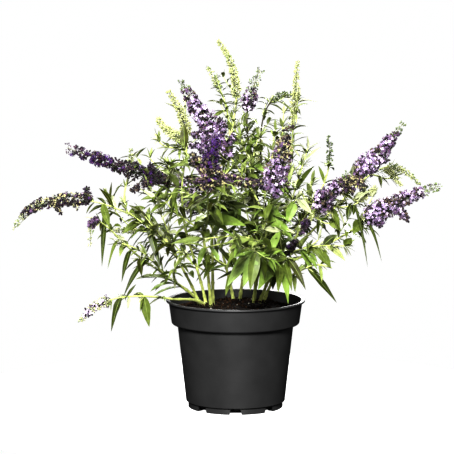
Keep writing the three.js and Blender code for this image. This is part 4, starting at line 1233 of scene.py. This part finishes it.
def floret_shape():
    """A floret along Z: a slim tube, and a face of four round lobes with an eye."""
    bm = bmesh.new()
    face = bmesh.ops.create_circle(bm, segments=16, radius=FLORET["lobes"])["verts"]
    for i, vert in enumerate(face):
        notched = i % 4 == 2
        if notched:
            vert.co.x *= FLORET["notch"]
            vert.co.y *= FLORET["notch"]
        vert.co.z = TUBE + FLORET["notch_rise" if notched else "lobe_rise"]
    rim = list({e for v in face for e in v.link_edges})
    ring = bmesh.ops.create_circle(bm, segments=4, radius=FLORET["throat"])["verts"]
    bmesh.ops.translate(bm, verts=ring, vec=(0, 0, TUBE - FLORET["throat_depth"]))
    ring_edges = list({e for v in ring for e in v.link_edges})
    base = bmesh.ops.create_circle(bm, segments=4, radius=FLORET["foot"],
                                   cap_ends=True)["verts"]
    base_edges = list({e for v in base for e in v.link_edges})
    bmesh.ops.bridge_loops(bm, edges=rim + ring_edges)
    bmesh.ops.bridge_loops(bm, edges=ring_edges + base_edges)
    top = bmesh.ops.contextual_create(bm, geom=rim)["faces"]
    centre = bmesh.ops.poke(bm, faces=top)["verts"]
    bmesh.ops.translate(bm, verts=centre, vec=(0, 0, -FLORET["dish"]))
    for f in bm.faces:
        on_face = f.calc_center_median().z > TUBE - FLORET["dish"]
        f.material_index = PETAL if on_face else TUBE_SIDE
    eye = bmesh.ops.create_cone(bm, cap_ends=True, cap_tris=False, segments=4,
                                radius1=EYE["foot"], radius2=EYE["top"],
                                depth=EYE["height"])["verts"]
    bmesh.ops.translate(bm, verts=eye, vec=(0, 0, TUBE + EYE["rise"]))
    for f in {f for v in eye for f in v.link_faces}:
        f.material_index = EYE_FACE
    return Shape(bm)


BUD_HALF = 1.7  # half the length of a bud that is 2 mm thick
SPENT = {
    "foot": 0.8, "mouth": 1.9, "length": 6.4, "bend": 0.8, "rags": (0.9, -1.4, 0.3, -0.6, 1.2),
}


def bud_shape():
    """A bud along Z, from 0 up."""
    bm = bmesh.new()
    bmesh.ops.create_icosphere(bm, subdivisions=1, radius=1)
    bmesh.ops.scale(bm, verts=bm.verts, vec=(1.0, 1.0, BUD_HALF))
    bmesh.ops.translate(bm, verts=bm.verts, vec=(0, 0, BUD_HALF))
    return Shape(bm)


def spent_shape():
    """A shrivelled floret along Z: a bent tube with a ragged mouth."""
    bm = bmesh.new()
    length, rags = SPENT["length"], SPENT["rags"]
    bmesh.ops.create_cone(bm, cap_ends=True, cap_tris=True, segments=len(rags),
                          radius1=SPENT["foot"], radius2=SPENT["mouth"], depth=length)
    bmesh.ops.translate(bm, verts=bm.verts, vec=(0, 0, length / 2))
    mouth = [v for v in bm.verts if v.co.z > length * 0.9]
    for i, vert in enumerate(mouth):
        vert.co.z += rags[i % len(rags)]
        vert.co.x += SPENT["bend"]
    return Shape(bm)


SHARP_FROM = 65  # degrees between faces, on the plant
PIECE_LIMIT = 180000  # triangles


def joined_mesh(name, parts, materials, smooth=False):
    """One mesh from many copies. A part is a shape, its copies' points as an array of
    (copy, point, 3) in mm, and each copy's material for each kind of face."""
    points, corners, starts, slots = [], [], [], []
    vertex, loop = 0, 0
    for shape, places, tints in parts:
        copies = len(places)
        if not copies:
            continue
        points.append(places.reshape(-1, 3))
        step = np.arange(copies)[:, None] * len(shape.points) + vertex
        corners.append((shape.corners[None] + step).ravel())
        first = np.concatenate(([0], np.cumsum(shape.sizes)[:-1]))
        starts.append((first[None] + np.arange(copies)[:, None] * len(shape.corners)
                       + loop).ravel())
        slots.append(tints[:, shape.kinds].ravel())
        vertex += copies * len(shape.points)
        loop += copies * len(shape.corners)
    mesh = bpy.data.meshes.new(name)
    mesh.vertices.add(vertex)
    mesh.vertices.foreach_set("co", (np.concatenate(points) * MM).ravel())
    mesh.loops.add(loop)
    mesh.loops.foreach_set("vertex_index", np.concatenate(corners).astype(np.int32))
    starts = np.concatenate(starts).astype(np.int32)
    mesh.polygons.add(len(starts))
    mesh.polygons.foreach_set("loop_start", starts)
    mesh.polygons.foreach_set("material_index", np.concatenate(slots).astype(np.int32))
    mesh.polygons.foreach_set("use_smooth", np.full(len(starts), smooth))
    for material in materials:
        mesh.materials.append(material)
    mesh.update(calc_edges=True)
    if smooth:
        mesh.set_sharp_from_angle(angle=math.radians(SHARP_FROM))
    piece = bpy.data.objects.new(name, mesh)
    bpy.context.scene.collection.objects.link(piece)
    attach(piece, "root")
    return piece


# ---------------------------------------------------------------- finishes

def colour(red, green, blue):
    """A linear colour from 0 to 255 screen values."""
    parts = [c / 255 for c in (red, green, blue)]
    return [p / 12.92 if p <= 0.04045 else ((p + 0.055) / 1.055) ** 2.4 for p in parts] + [1.0]


class Finish:
    """A Principled material whose patterns lie in Object coordinates."""

    def __init__(self, name, roughness, specular=0.5, sheen=0.0, coat=0.0):
        self.material = bpy.data.materials.new(name)
        self.material.use_nodes = True
        self.nodes = self.material.node_tree.nodes
        self.links = self.material.node_tree.links
        self.shader = self.nodes["Principled BSDF"]
        self.shader.inputs["Roughness"].default_value = roughness
        self.shader.inputs["Specular IOR Level"].default_value = specular
        self.shader.inputs["Sheen Weight"].default_value = sheen
        self.shader.inputs["Coat Weight"].default_value = coat
        self.place = self.nodes.new("ShaderNodeTexCoord").outputs["Object"]

    def noise(self, scale, detail=3, stretch=(1, 1, 1)):
        mapping = self.nodes.new("ShaderNodeMapping")
        mapping.inputs["Scale"].default_value = stretch
        texture = self.nodes.new("ShaderNodeTexNoise")
        texture.inputs["Scale"].default_value = scale
        texture.inputs["Detail"].default_value = detail
        self.links.new(self.place, mapping.inputs["Vector"])
        self.links.new(mapping.outputs["Vector"], texture.inputs["Vector"])
        return texture.outputs["Fac"]

    def ramp(self, factor, stops):
        ramp = self.nodes.new("ShaderNodeValToRGB")
        while len(ramp.color_ramp.elements) < len(stops):
            ramp.color_ramp.elements.new(0.5)
        for element, (place, tone) in zip(ramp.color_ramp.elements, stops):
            element.position = place
            element.color = tone
        self.links.new(factor, ramp.inputs["Fac"])
        return ramp.outputs["Color"]

    def mottle(self, scale, dark, light, detail=3):
        """Patches of two tones, more to the metre as `scale` grows."""
        tone = self.ramp(self.noise(scale, detail), ((0.3, dark), (0.7, light)))
        self.links.new(tone, self.shader.inputs["Base Color"])

    def relief(self, scale, strength, distance, detail=3, stretch=(1, 1, 1)):
        bump = self.nodes.new("ShaderNodeBump")
        bump.inputs["Strength"].default_value = strength
        bump.inputs["Distance"].default_value = distance
        self.links.new(self.noise(scale, detail, stretch), bump.inputs["Height"])
        self.links.new(bump.outputs["Normal"], self.shader.inputs["Normal"])

    def wear(self, scale, low, high):
        """Roughness that varies between two values."""
        spread = self.nodes.new("ShaderNodeMapRange")
        spread.inputs["To Min"].default_value = low
        spread.inputs["To Max"].default_value = high
        self.links.new(self.noise(scale, 4), spread.inputs["Value"])
        self.links.new(spread.outputs["Result"], self.shader.inputs["Roughness"])


# Each tint as its darkest and its lightest tone, in screen values from 0 to 255.
# olive and deep are partly painted shade, and bright, lime and the fresh tint partly painted
# light.
LEAF_COLOURS = {
    "olive": ((38, 40, 10), (62, 66, 20)),
    "deep": ((38, 46, 12), (60, 70, 22)),
    "mid": ((74, 86, 36), (100, 112, 54)),
    "bright": ((102, 116, 60), (132, 142, 86)),
    "fresh_lit": ((96, 116, 52), (126, 146, 76)),
    "lime": ((130, 138, 90), (158, 162, 116)),
    "downy": ((134, 138, 110), (166, 170, 140)),
}
LEAF_ORDER = list(LEAF_COLOURS)


def leaf_finishes():
    finishes = []
    for name, (dark, light) in LEAF_COLOURS.items():
        finish = Finish(f"leaf_{name}", 0.46, specular=0.3)
        finish.mottle(95, colour(*dark), colour(*light), detail=4)
        finish.relief(620, strength=0.25, distance=0.0006)
        finishes.append(finish.material)
    felt = Finish("leaf_felt", 0.85, specular=0.12)
    felt.mottle(240, colour(104, 116, 66), colour(140, 150, 98))
    felt.relief(900, strength=0.3, distance=0.0005)
    rib = Finish("leaf_rib", 0.6, specular=0.3)
    rib.mottle(160, colour(92, 106, 52), colour(124, 138, 78))
    rib.relief(500, strength=0.2, distance=0.0004)
    return finishes + [felt.material, rib.material]


BARK_COLOURS = {
    "stem": ((126, 134, 70), (182, 190, 116)),
    "bough": ((140, 150, 84), (190, 198, 128)),
    "shoot": ((146, 156, 92), (190, 198, 132)),
    "twig": ((146, 158, 96), (190, 198, 136)),
    "stalk": ((62, 66, 38), (104, 110, 66)),
    "dark_shoot": ((38, 36, 18), (68, 64, 36)),
}


def bark_finish(kind):
    dark, light = BARK_COLOURS[kind]
    finish = Finish(f"bark_{kind}", 0.62, specular=0.3, sheen=0.15)
    finish.mottle(130, colour(*dark), colour(*light), detail=5)
    finish.relief(420, strength=0.35, distance=0.0008, detail=4, stretch=(1, 1, 0.35))
    return finish.material


BLOOM_COLOURS = {
    "pale_lilac": ((172, 158, 178), (204, 192, 210)),
    "lilac": ((132, 116, 144), (164, 150, 176)),
    "mauve": ((80, 62, 90), (112, 90, 120)),
    "violet": ((52, 24, 78), (80, 46, 110)),
    "deep_violet": ((36, 10, 56), (58, 24, 82)),
    "dusk": ((28, 14, 30), (50, 32, 50)),
    "brown": ((64, 52, 44), (104, 90, 74)),
    "straw": ((136, 130, 96), (174, 168, 130)),
    "dark": ((18, 12, 16), (40, 30, 32)),
    "plum": ((42, 24, 46), (78, 52, 78)),
    "rose": ((72, 38, 62), (106, 66, 88)),
    "green": ((84, 100, 50), (120, 136, 78)),
    "dark_green": ((32, 44, 22), (58, 72, 38)),
    "lime": ((136, 142, 90), (166, 170, 120)),
    "pale": ((162, 166, 120), (192, 194, 154)),
}
BLOOM_ORDER = list(BLOOM_COLOURS)
# The tint of a floret's tube, where it is another than its lobes have.
TUBE_TINTS = {
    "pale_lilac": "mauve", "lilac": "plum", "mauve": "plum", "violet": "deep_violet",
    "deep_violet": "dusk",
}


def bloom_finishes():
    finishes = []
    for name, (dark, light) in BLOOM_COLOURS.items():
        finish = Finish(f"bloom_{name}", 0.6, specular=0.25, sheen=0.2)
        finish.mottle(210, colour(*dark), colour(*light))
        finish.relief(800, strength=0.2, distance=0.0004)
        finishes.append(finish.material)
    eye = Finish("bloom_eye", 0.5, specular=0.3)
    eye.mottle(300, colour(150, 92, 36), colour(184, 130, 62))
    eye.relief(900, strength=0.2, distance=0.0003)
    return finishes + [eye.material]


def pot_finish():
    finish = Finish("moulded_polypropylene", 0.5, specular=0.5)
    finish.mottle(26, colour(45, 45, 45), colour(52, 52, 52), detail=5)
    finish.relief(900, strength=0.12, distance=0.0006, detail=5)
    finish.wear(40, 0.44, 0.58)
    return finish.material


def compost_finish(name, dark, light):
    finish = Finish(name, 0.92, specular=0.2)
    finish.mottle(420, colour(*dark), colour(*light), detail=6)
    finish.relief(520, strength=0.9, distance=0.003, detail=6)
    return finish.material


# ---------------------------------------------------------------- meshes of the plant

# The swelling at a node and the flare at a stem's foot: how much wider, and over what length.
NODE_SWELL, NODE_LENGTH = 0.34, 1.9
FLARE, FLARE_LENGTH = 0.5, 9
RIBS, RIB_DEPTH = 4, 0.09  # the low ridges along a limb
# The sides and lengths of each kind of limb.
LIMB_DETAIL = {
    "stem": (12, 44), "bough": (10, 30), "shoot": (7, 40), "dark_shoot": (7, 40),
    "twig": (5, 7), "stalk": (3, 2),
}
LIMB_PIECES = {
    "stems_and_boughs": ("stem", "bough"),
    "shoots_and_twigs": ("shoot", "twig", "dark_shoot"),
    "flower_stalks": ("stalk",),
}


def bent_rods(shape, rows):
    """The points of rods bent along their curves, with swollen nodes and a flared foot."""
    places = []
    for curve, low, high, foot, top, kind, nodes in rows:
        share = shape.points[:, 2]
        t = low + (high - low) * share
        radius = foot + (top - foot) * share
        for node in nodes:
            away = (t - node) * curve.length / NODE_LENGTH
            radius = radius * (1 + NODE_SWELL * np.exp(-away ** 2))
        if kind == "stem":
            radius = radius * (1 + FLARE * np.exp(-t * curve.length / FLARE_LENGTH))
        _, side, over = curve.across(t)
        around = np.arctan2(shape.points[:, 1], shape.points[:, 0])
        ribs = 1 + RIB_DEPTH * np.cos(RIBS * around)
        x, y = shape.points[:, 0] * radius * ribs, shape.points[:, 1] * radius * ribs
        places.append(curve.points(t) + side * x[:, None] + over * y[:, None])
    return np.array(places)


def make_limbs(growth):
    pieces = {}
    for name, kinds in LIMB_PIECES.items():
        parts = []
        for slot, kind in enumerate(kinds):
            rows = [row for row in growth.limbs if row.kind == kind]
            shape = rod_shape(*LIMB_DETAIL[kind])
            parts.append((shape, bent_rods(shape, rows), np.full((len(rows), 1), slot)))
        materials = [bark_finish(kind) for kind in kinds]
        pieces[name] = joined_mesh(name, parts, materials, smooth=name != "flower_stalks")
    return pieces


WAVE, WAVES = 0.10, 15  # how far a leaf's edge waves, and how fast along it


def bent_leaves(shape, rows):
    """The points of blades that go from root to tip by way of the knee."""
    columns = Leaf(*zip(*rows))
    root, knee, tip, face = (
        np.array(column)[:, None]
        for column in (columns.root, columns.knee, columns.tip, columns.face))
    length, slender, twist, fold, phase = (
        np.array(column)[:, None, None]
        for column in (columns.length, columns.slender, columns.twist, columns.fold,
                       columns.phase))
    along, across, height = (shape.points[None, :, i, None] for i in range(3))
    line = (1 - along) ** 2 * root + 2 * along * (1 - along) * knee + along ** 2 * tip
    ahead = unit((1 - along) * (knee - root) + along * (tip - knee))
    side = -unit(np.cross(tip - root, face))
    side = unit(side - ahead * (side * ahead).sum(-1, keepdims=True))
    turn = twist * along
    side = side * np.cos(turn) + np.cross(ahead, side) * np.sin(turn)
    above = np.cross(ahead, side)
    half = length * slender / 2
    wave = WAVE * np.sin(along * WAVES + phase) * np.abs(across) * np.sign(across)
    lift = height * length + half * (fold * np.abs(across) + wave)
    return line + side * across * half + above * lift


def make_leaves(growth):
    broad = leaf_shape(9, (-1, -0.55, -0.07, 0.07, 0.55, 1))
    slight = leaf_shape(5, (-1, 0, 1))
    materials = leaf_finishes()
    felt, rib = len(LEAF_ORDER), len(LEAF_ORDER) + 1
    pieces = {}
    for kind, shape in (("broad", broad), ("slight", slight)):
        rows = [row for row in growth.leaves if row.kind == kind]
        parts = max(1, math.ceil(len(rows) * shape.triangles / PIECE_LIMIT))
        for part in range(parts):
            some = rows[part::parts]
            tint = np.array([LEAF_ORDER.index(row.tint) for row in some])
            under = np.where(tint == LEAF_ORDER.index("downy"), tint, felt)
            slots = np.stack([np.full(len(some), rib), tint, under], axis=1)
            name = f"{kind}_leaves_{part + 1}"
            pieces[name] = joined_mesh(name, [(shape, bent_leaves(shape, some), slots)],
                                       materials, smooth=True)
    return pieces


def set_heads(shape, rows):
    """The points of heads that stand at their places, along their aims."""
    columns = Head(*zip(*rows))
    place, aim = np.array(columns.place)[:, None], np.array(columns.aim)[:, None]
    scale, turn = (np.array(column)[:, None, None] for column in (columns.scale, columns.turn))
    side = unit(np.cross(aim, UP + SET_OFF_LEVEL))
    over = np.cross(aim, side)
    x, y, z = (shape.points[None, :, i, None] * scale for i in range(3))
    right = side * np.cos(turn) + over * np.sin(turn)
    ahead = over * np.cos(turn) - side * np.sin(turn)
    return place + right * x + ahead * y + aim * z


def make_heads(growth):
    shapes = {"open": floret_shape(), "bud": bud_shape(), "spent": spent_shape()}
    names = {"open": "florets", "bud": "flower_buds", "spent": "spent_florets"}
    materials = bloom_finishes()
    eye = len(BLOOM_ORDER)
    pieces = {}
    for kind, shape in shapes.items():
        rows = [row for row in growth.heads if row.kind == kind]
        parts = max(1, math.ceil(len(rows) * shape.triangles / PIECE_LIMIT))
        for part in range(parts):
            some = rows[part::parts]
            tint = np.array([BLOOM_ORDER.index(row.tint) for row in some])
            tube = np.array([BLOOM_ORDER.index(TUBE_TINTS.get(row.tint, row.tint))
                             for row in some])
            slots = np.stack([tint, np.full(len(some), eye), tube], axis=1)
            name = f"{names[kind]}_{part + 1}"
            pieces[name] = joined_mesh(name, [(shape, set_heads(shape, some), slots)],
                                       materials)
    return pieces


# ---------------------------------------------------------------- pot and compost

POT_SHARP_FROM = 35  # degrees between faces
POT_STEPS = 160  # sides round the pot


def spun(name, profile, steps, material):
    """A closed ring of a profile, given as radius and height in mm, turned about Z."""
    bm = bmesh.new()
    verts = [bm.verts.new((r * MM, 0, z * MM)) for r, z in profile]
    edges = [bm.edges.new(pair) for pair in zip(verts, verts[1:])]
    bmesh.ops.spin(bm, geom=verts + edges, cent=(0, 0, 0), axis=(0, 0, 1),
                   angle=2 * math.pi, steps=steps, use_merge=True)
    bmesh.ops.remove_doubles(bm, verts=bm.verts, dist=1e-6)
    bmesh.ops.recalc_face_normals(bm, faces=bm.faces)
    mesh = bpy.data.meshes.new(name)
    bm.to_mesh(mesh)
    bm.free()
    mesh.materials.append(material)
    mesh.polygons.foreach_set("use_smooth", np.ones(len(mesh.polygons), bool))
    mesh.set_sharp_from_angle(angle=math.radians(POT_SHARP_FROM))
    piece = bpy.data.objects.new(name, mesh)
    bpy.context.scene.collection.objects.link(piece)
    return piece


def pot_profile():
    """Up the outside of the wall, over the lip, and down the inside to the floor."""
    height, wall, foot = POT["height"], POT["wall"], POT["foot_radius"]
    foot_top, wall_foot, wall_top = POT["foot_height"], POT["wall_foot"], POT["wall_top"]
    step = foot_top + POT["foot_step"]
    band, lip = height - POT["band_height"], height - POT["lip_height"]
    band_foot, band_top = POT["band_foot"], POT["band_top"]
    corner, edge, soft = POT["band_corner"], POT["lip_edge"], POT["soft_edge"]
    recess, ring = POT["recess"], foot - POT["foot_ring"]
    rounded = [(band_foot - corner + corner * math.sin(a), band + corner - corner * math.cos(a))
               for a in np.linspace(0, math.pi / 2, 6)]
    lip_edge = [(POT["lip_radius"] - edge + edge * math.sin(a),
                 height - edge + edge * math.cos(a))
                for a in np.linspace(math.pi / 2, 0, 5)]
    return [
        (0.0, recess), (ring - 2, recess), (ring, 0.0), (foot - 0.8, 0.0), (foot, 0.8),
        (foot, foot_top - soft), (foot + 0.8, foot_top), (wall_foot - 1.2, foot_top + 0.3),
        (wall_foot, step), (wall_top, band - soft), (wall_top + soft, band),
        *rounded, (band_top, lip - 0.4), (band_top + 0.5, lip),
        (POT["lip_radius"] - soft, lip), (POT["lip_radius"], lip + soft), *lip_edge,
        (band_top - wall + soft, height), (band_top - wall, height - soft),
        (band_foot - wall, band + wall), (wall_top - wall, band + wall),
        (wall_foot - wall, step + wall), (foot - wall, foot_top + wall),
        (foot - wall, wall), (0.0, wall),
    ]


def cut_drains(pot):
    """Cuts the notches round the underside, each wider at its foot."""
    bm = bmesh.new()
    for k in range(POT["drains"]):
        made = bmesh.ops.create_cube(bm, size=1)["verts"]
        for vert in made:
            low = vert.co.z < 0
            vert.co.x *= 2 * POT["drain_depth"]
            vert.co.y *= POT["drain_width"] * (1.0 if low else POT["drain_top"])
            vert.co.z = -1 if low else POT["drain_height"]
            vert.co.x += POT["foot_radius"]
        turn = math.radians(-90 + 360 * k / POT["drains"])
        for vert in made:
            x, y = vert.co.x, vert.co.y
            vert.co.x = (x * math.cos(turn) - y * math.sin(turn)) * MM
            vert.co.y = (x * math.sin(turn) + y * math.cos(turn)) * MM
            vert.co.z *= MM
    mesh = bpy.data.meshes.new("drain_cutter")
    bm.to_mesh(mesh)
    bm.free()
    cutter = bpy.data.objects.new("drain_cutter", mesh)
    bpy.context.scene.collection.objects.link(cutter)
    cut = pot.modifiers.new("drains", "BOOLEAN")
    cut.operation = "DIFFERENCE"
    cut.solver = "EXACT"
    cut.object = cutter
    graph = bpy.context.evaluated_depsgraph_get()
    done = bpy.data.meshes.new_from_object(pot.evaluated_get(graph))
    pot.modifiers.clear()
    pot.data = done
    bpy.data.objects.remove(cutter)
    done.set_sharp_from_angle(angle=math.radians(POT_SHARP_FROM))


def make_pot():
    pot = spun("nursery_pot", pot_profile(), POT_STEPS, pot_finish())
    cut_drains(pot)
    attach(pot, "root")
    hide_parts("pot")


# The compost's top: its radius, how far it lies below the CAD's top, how rough it is, and
# the skirt that closes it below; and the insets that cut it into rings.
COMPOST = {"radius": 101.5, "sunk": 2.5, "rough": 1.3, "skirt": 20, "skirt_in": 0.97}
RINGS = (4, 6, 8, 8, 9, 9, 9, 9, 9, 9, 8, 6)
HEAP_REACH, HEAP_SLOPE = 38, 19  # how far a heap reaches, and the width of its slope
# Loose bits on it: their stretch, how many, the smallest and largest, and the two tones.
LOOSE_BITS = {
    "crumbs": ((1, 1, 0.8), 3400, 0.7, 2.1, (18, 13, 9), (46, 34, 25)),
    "bark_chips": ((1, 0.45, 0.3), 420, 1.8, 4.8, (40, 28, 19), (86, 62, 43)),
    "perlite": ((1, 0.9, 0.8), 46, 0.8, 1.9, (196, 190, 176), (232, 228, 218)),
}
BITS_REACH = 99  # from the pot's axis
BITS_SUNK = 2  # below the CAD's top


def heap_height(x, y):
    """How high the compost stands above its level top at a point, without its crumbs."""
    height = np.zeros_like(x)
    for tuft in TUFTS.values():
        away = np.hypot(x - tuft["x"], y - tuft["y"])
        slope = np.clip((HEAP_REACH - away) / HEAP_SLOPE, 0, 1)
        height = np.maximum(height, tuft["heap"] * slope)
    return height


def make_compost():
    rim = COMPOST["radius"]
    bm = bmesh.new()
    bmesh.ops.create_circle(bm, segments=72, radius=rim, cap_ends=True)
    top = bm.faces[:]
    for inset in RINGS:
        bmesh.ops.inset_region(bm, faces=top, thickness=inset, use_even_offset=True)
    bmesh.ops.poke(bm, faces=top)
    dice = Dice(SEEDS["compost"])
    for vert in bm.verts:
        x, y = vert.co.x, vert.co.y
        at_rim = math.hypot(x, y) > rim - 1
        rough = 0 if at_rim else dice.between(-COMPOST["rough"], COMPOST["rough"])
        heap = float(heap_height(np.array(x), np.array(y)))
        vert.co.z = SOIL_TOP - COMPOST["sunk"] + heap + rough
    rim_edges = [e for e in bm.edges if e.is_boundary]
    skirt = bmesh.ops.extrude_edge_only(bm, edges=rim_edges)["geom"]
    skirt_verts = [v for v in skirt if isinstance(v, bmesh.types.BMVert)]
    for vert in skirt_verts:
        vert.co.z = SOIL_TOP - COMPOST["skirt"]
        vert.co.x *= COMPOST["skirt_in"]
        vert.co.y *= COMPOST["skirt_in"]
    bmesh.ops.holes_fill(bm, edges=[e for e in bm.edges if e.is_boundary], sides=0)
    bmesh.ops.recalc_face_normals(bm, faces=bm.faces)
    shape = Shape(bm)
    soil = joined_mesh("compost", [(shape, shape.points[None], np.zeros((1, 1), int))],
                       [compost_finish("compost", (15, 11, 8), (36, 27, 20))], smooth=True)
    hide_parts("soil")
    make_crumbs()


def crumb_shape(stretch):
    bm = bmesh.new()
    bmesh.ops.create_icosphere(bm, subdivisions=1, radius=1)
    bmesh.ops.scale(bm, verts=bm.verts, vec=stretch)
    dice = Dice(SEEDS["crumb_shape"])
    for vert in bm.verts:
        vert.co *= dice.between(0.7, 1.15)
    return Shape(bm)


def make_crumbs():
    """Loose crumbs, bark and perlite on the compost."""
    dice = Dice(SEEDS["crumbs"])
    for name, (stretch, count, small, large, dark, light) in LOOSE_BITS.items():
        shape = crumb_shape(stretch)
        rows = []
        for _ in range(count):
            azimuth, reach = dice.between(0, 360), BITS_REACH * math.sqrt(dice.roll())
            x, y, _ = polar(azimuth, reach, 0)
            height = SOIL_TOP - BITS_SUNK + float(heap_height(np.array(x), np.array(y)))
            aim = unit(np.array([dice.between(-1, 1), dice.between(-1, 1), 0.4]))
            size = small + (large - small) * dice.roll() ** 2
            rows.append(Head(name, "", np.array((x, y, height)), aim, size,
                             dice.between(0, FULL_TURN)))
        parts = [(shape, set_heads(shape, rows), np.zeros((count, 1), int))]
        piece = joined_mesh(name, parts, [compost_finish(name, dark, light)])


# ---------------------------------------------------------------- the whole plant

def grow_plant():
    stems = lay_out_stems()
    leaders = lay_out_leaders(stems)
    spaces = Spaces(stems, leaders)
    growth = Growth()
    for index, (name, curve) in enumerate(stems.items()):
        grow_stem(growth, name, curve, index, spaces)
    for leader in leaders.values():
        if leader["bare"] > 0:
            grow_bough(growth, leader, spaces)
        grow_shoot(growth, leader, spaces)
    grow_placed(growth, stems, leaders, spaces)
    return growth


def dress_plant():
    growth = grow_plant()
    limbs = make_limbs(growth)
    leaves = make_leaves(growth)
    heads = make_heads(growth)
    nodes = list(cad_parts)
    masses = [n for n in nodes if n.startswith("mass_")]
    wood = [n for n in nodes if n.startswith(("stem_", "bough_"))]
    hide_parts(*wood)
    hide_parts(*masses)


# ---------------------------------------------------------------- floor, light, camera

# In metres and degrees; the lens in millimetres.
CAMERA_TARGET = (-0.0135, 0.0, 0.2878)
CAMERA_DISTANCE = 4.5
CAMERA_PITCH = 7.6
CAMERA_LENS = 225.4
WALL_LIGHT = 0.015
VIEW_GAMMA = 0.66
FLOOR_RADIUS = 0.48
FLOOR_GLOW = 1.0
# Softboxes: the place of each, its side, in metres, and its power. All point at the crown.
SOFTBOXES = {
    "front_softbox": ((-0.3, -3.0, 1.8), 0.8, 355),
    "low_softbox": ((0.0, -3.6, 0.5), 0.5, 40),
    "top_softbox": ((-0.3, 0.1, 2.6), 1.2, 92),
    "back_softbox": ((0.5, 3.0, 1.6), 1.2, 140),
    "east_softbox": ((3.0, 0.3, 1.2), 0.8, 32),
    "west_softbox": ((-3.0, 0.3, 1.2), 0.8, 32),
}
CROWN_MIDDLE = (0, 0, 0.3)


def point_at(thing, target):
    direction = np.array(target) - np.array(thing.location)
    level = math.hypot(direction[0], direction[1])
    thing.rotation_euler = (math.atan2(level, -direction[2]), 0,
                            math.atan2(direction[1], direction[0]) - math.pi / 2)


def add_softbox(name, place, side, power):
    data = bpy.data.lights.new(name, "AREA")
    data.shape = "RECTANGLE"
    data.size = side
    data.size_y = side
    data.energy = power
    light = bpy.data.objects.new(name, data)
    light.location = place
    point_at(light, CROWN_MIDDLE)
    bpy.context.scene.collection.objects.link(light)


def set_studio_walls():
    """White walls all round, which throw back only some of the light."""
    world = bpy.data.worlds.new("studio")
    world.use_nodes = True
    nodes, links = world.node_tree.nodes, world.node_tree.links
    seen, thrown = nodes["Background"], nodes.new("ShaderNodeBackground")
    seen.inputs["Color"].default_value = (1, 1, 1, 1)
    seen.inputs["Strength"].default_value = 1.0
    thrown.inputs["Color"].default_value = (0.96, 0.98, 1, 1)
    thrown.inputs["Strength"].default_value = WALL_LIGHT
    mix, path = nodes.new("ShaderNodeMixShader"), nodes.new("ShaderNodeLightPath")
    links.new(path.outputs["Is Camera Ray"], mix.inputs["Fac"])
    links.new(thrown.outputs["Background"], mix.inputs[1])
    links.new(seen.outputs["Background"], mix.inputs[2])
    links.new(mix.outputs["Shader"], nodes["World Output"].inputs["Surface"])
    bpy.context.scene.world = world


def add_floor():
    bm = bmesh.new()
    bmesh.ops.create_circle(bm, segments=96, radius=FLOOR_RADIUS, cap_ends=True)
    mesh = bpy.data.meshes.new("studio_floor")
    bm.to_mesh(mesh)
    bm.free()
    floor = bpy.data.objects.new("studio_floor", mesh)
    finish = Finish("floor_paint", 0.9, specular=0.1)
    finish.mottle(3, colour(150, 150, 150), colour(154, 154, 154))
    finish.shader.inputs["Emission Color"].default_value = (1, 1, 1, 1)
    finish.shader.inputs["Emission Strength"].default_value = FLOOR_GLOW
    mesh.materials.append(finish.material)
    bpy.context.scene.collection.objects.link(floor)
    floor.visible_diffuse = False
    floor.visible_glossy = False


def add_camera():
    data = bpy.data.cameras.new("camera")
    data.lens = CAMERA_LENS
    data.sensor_width = 36
    data.clip_end = 100
    camera = bpy.data.objects.new("camera", data)
    pitch = math.radians(CAMERA_PITCH)
    camera.location = (CAMERA_TARGET[0],
                       CAMERA_TARGET[1] - CAMERA_DISTANCE * math.cos(pitch),
                       CAMERA_TARGET[2] + CAMERA_DISTANCE * math.sin(pitch))
    point_at(camera, CAMERA_TARGET)
    bpy.context.scene.collection.objects.link(camera)
    bpy.context.scene.camera = camera


def set_stage():
    add_floor()
    set_studio_walls()
    for name, (place, side, power) in SOFTBOXES.items():
        add_softbox(name, place, side, power)
    add_camera()
    bpy.context.scene.view_settings.view_transform = "Standard"
    bpy.context.scene.view_settings.gamma = VIEW_GAMMA


set_stage()
make_pot()
make_compost()
dress_plant()
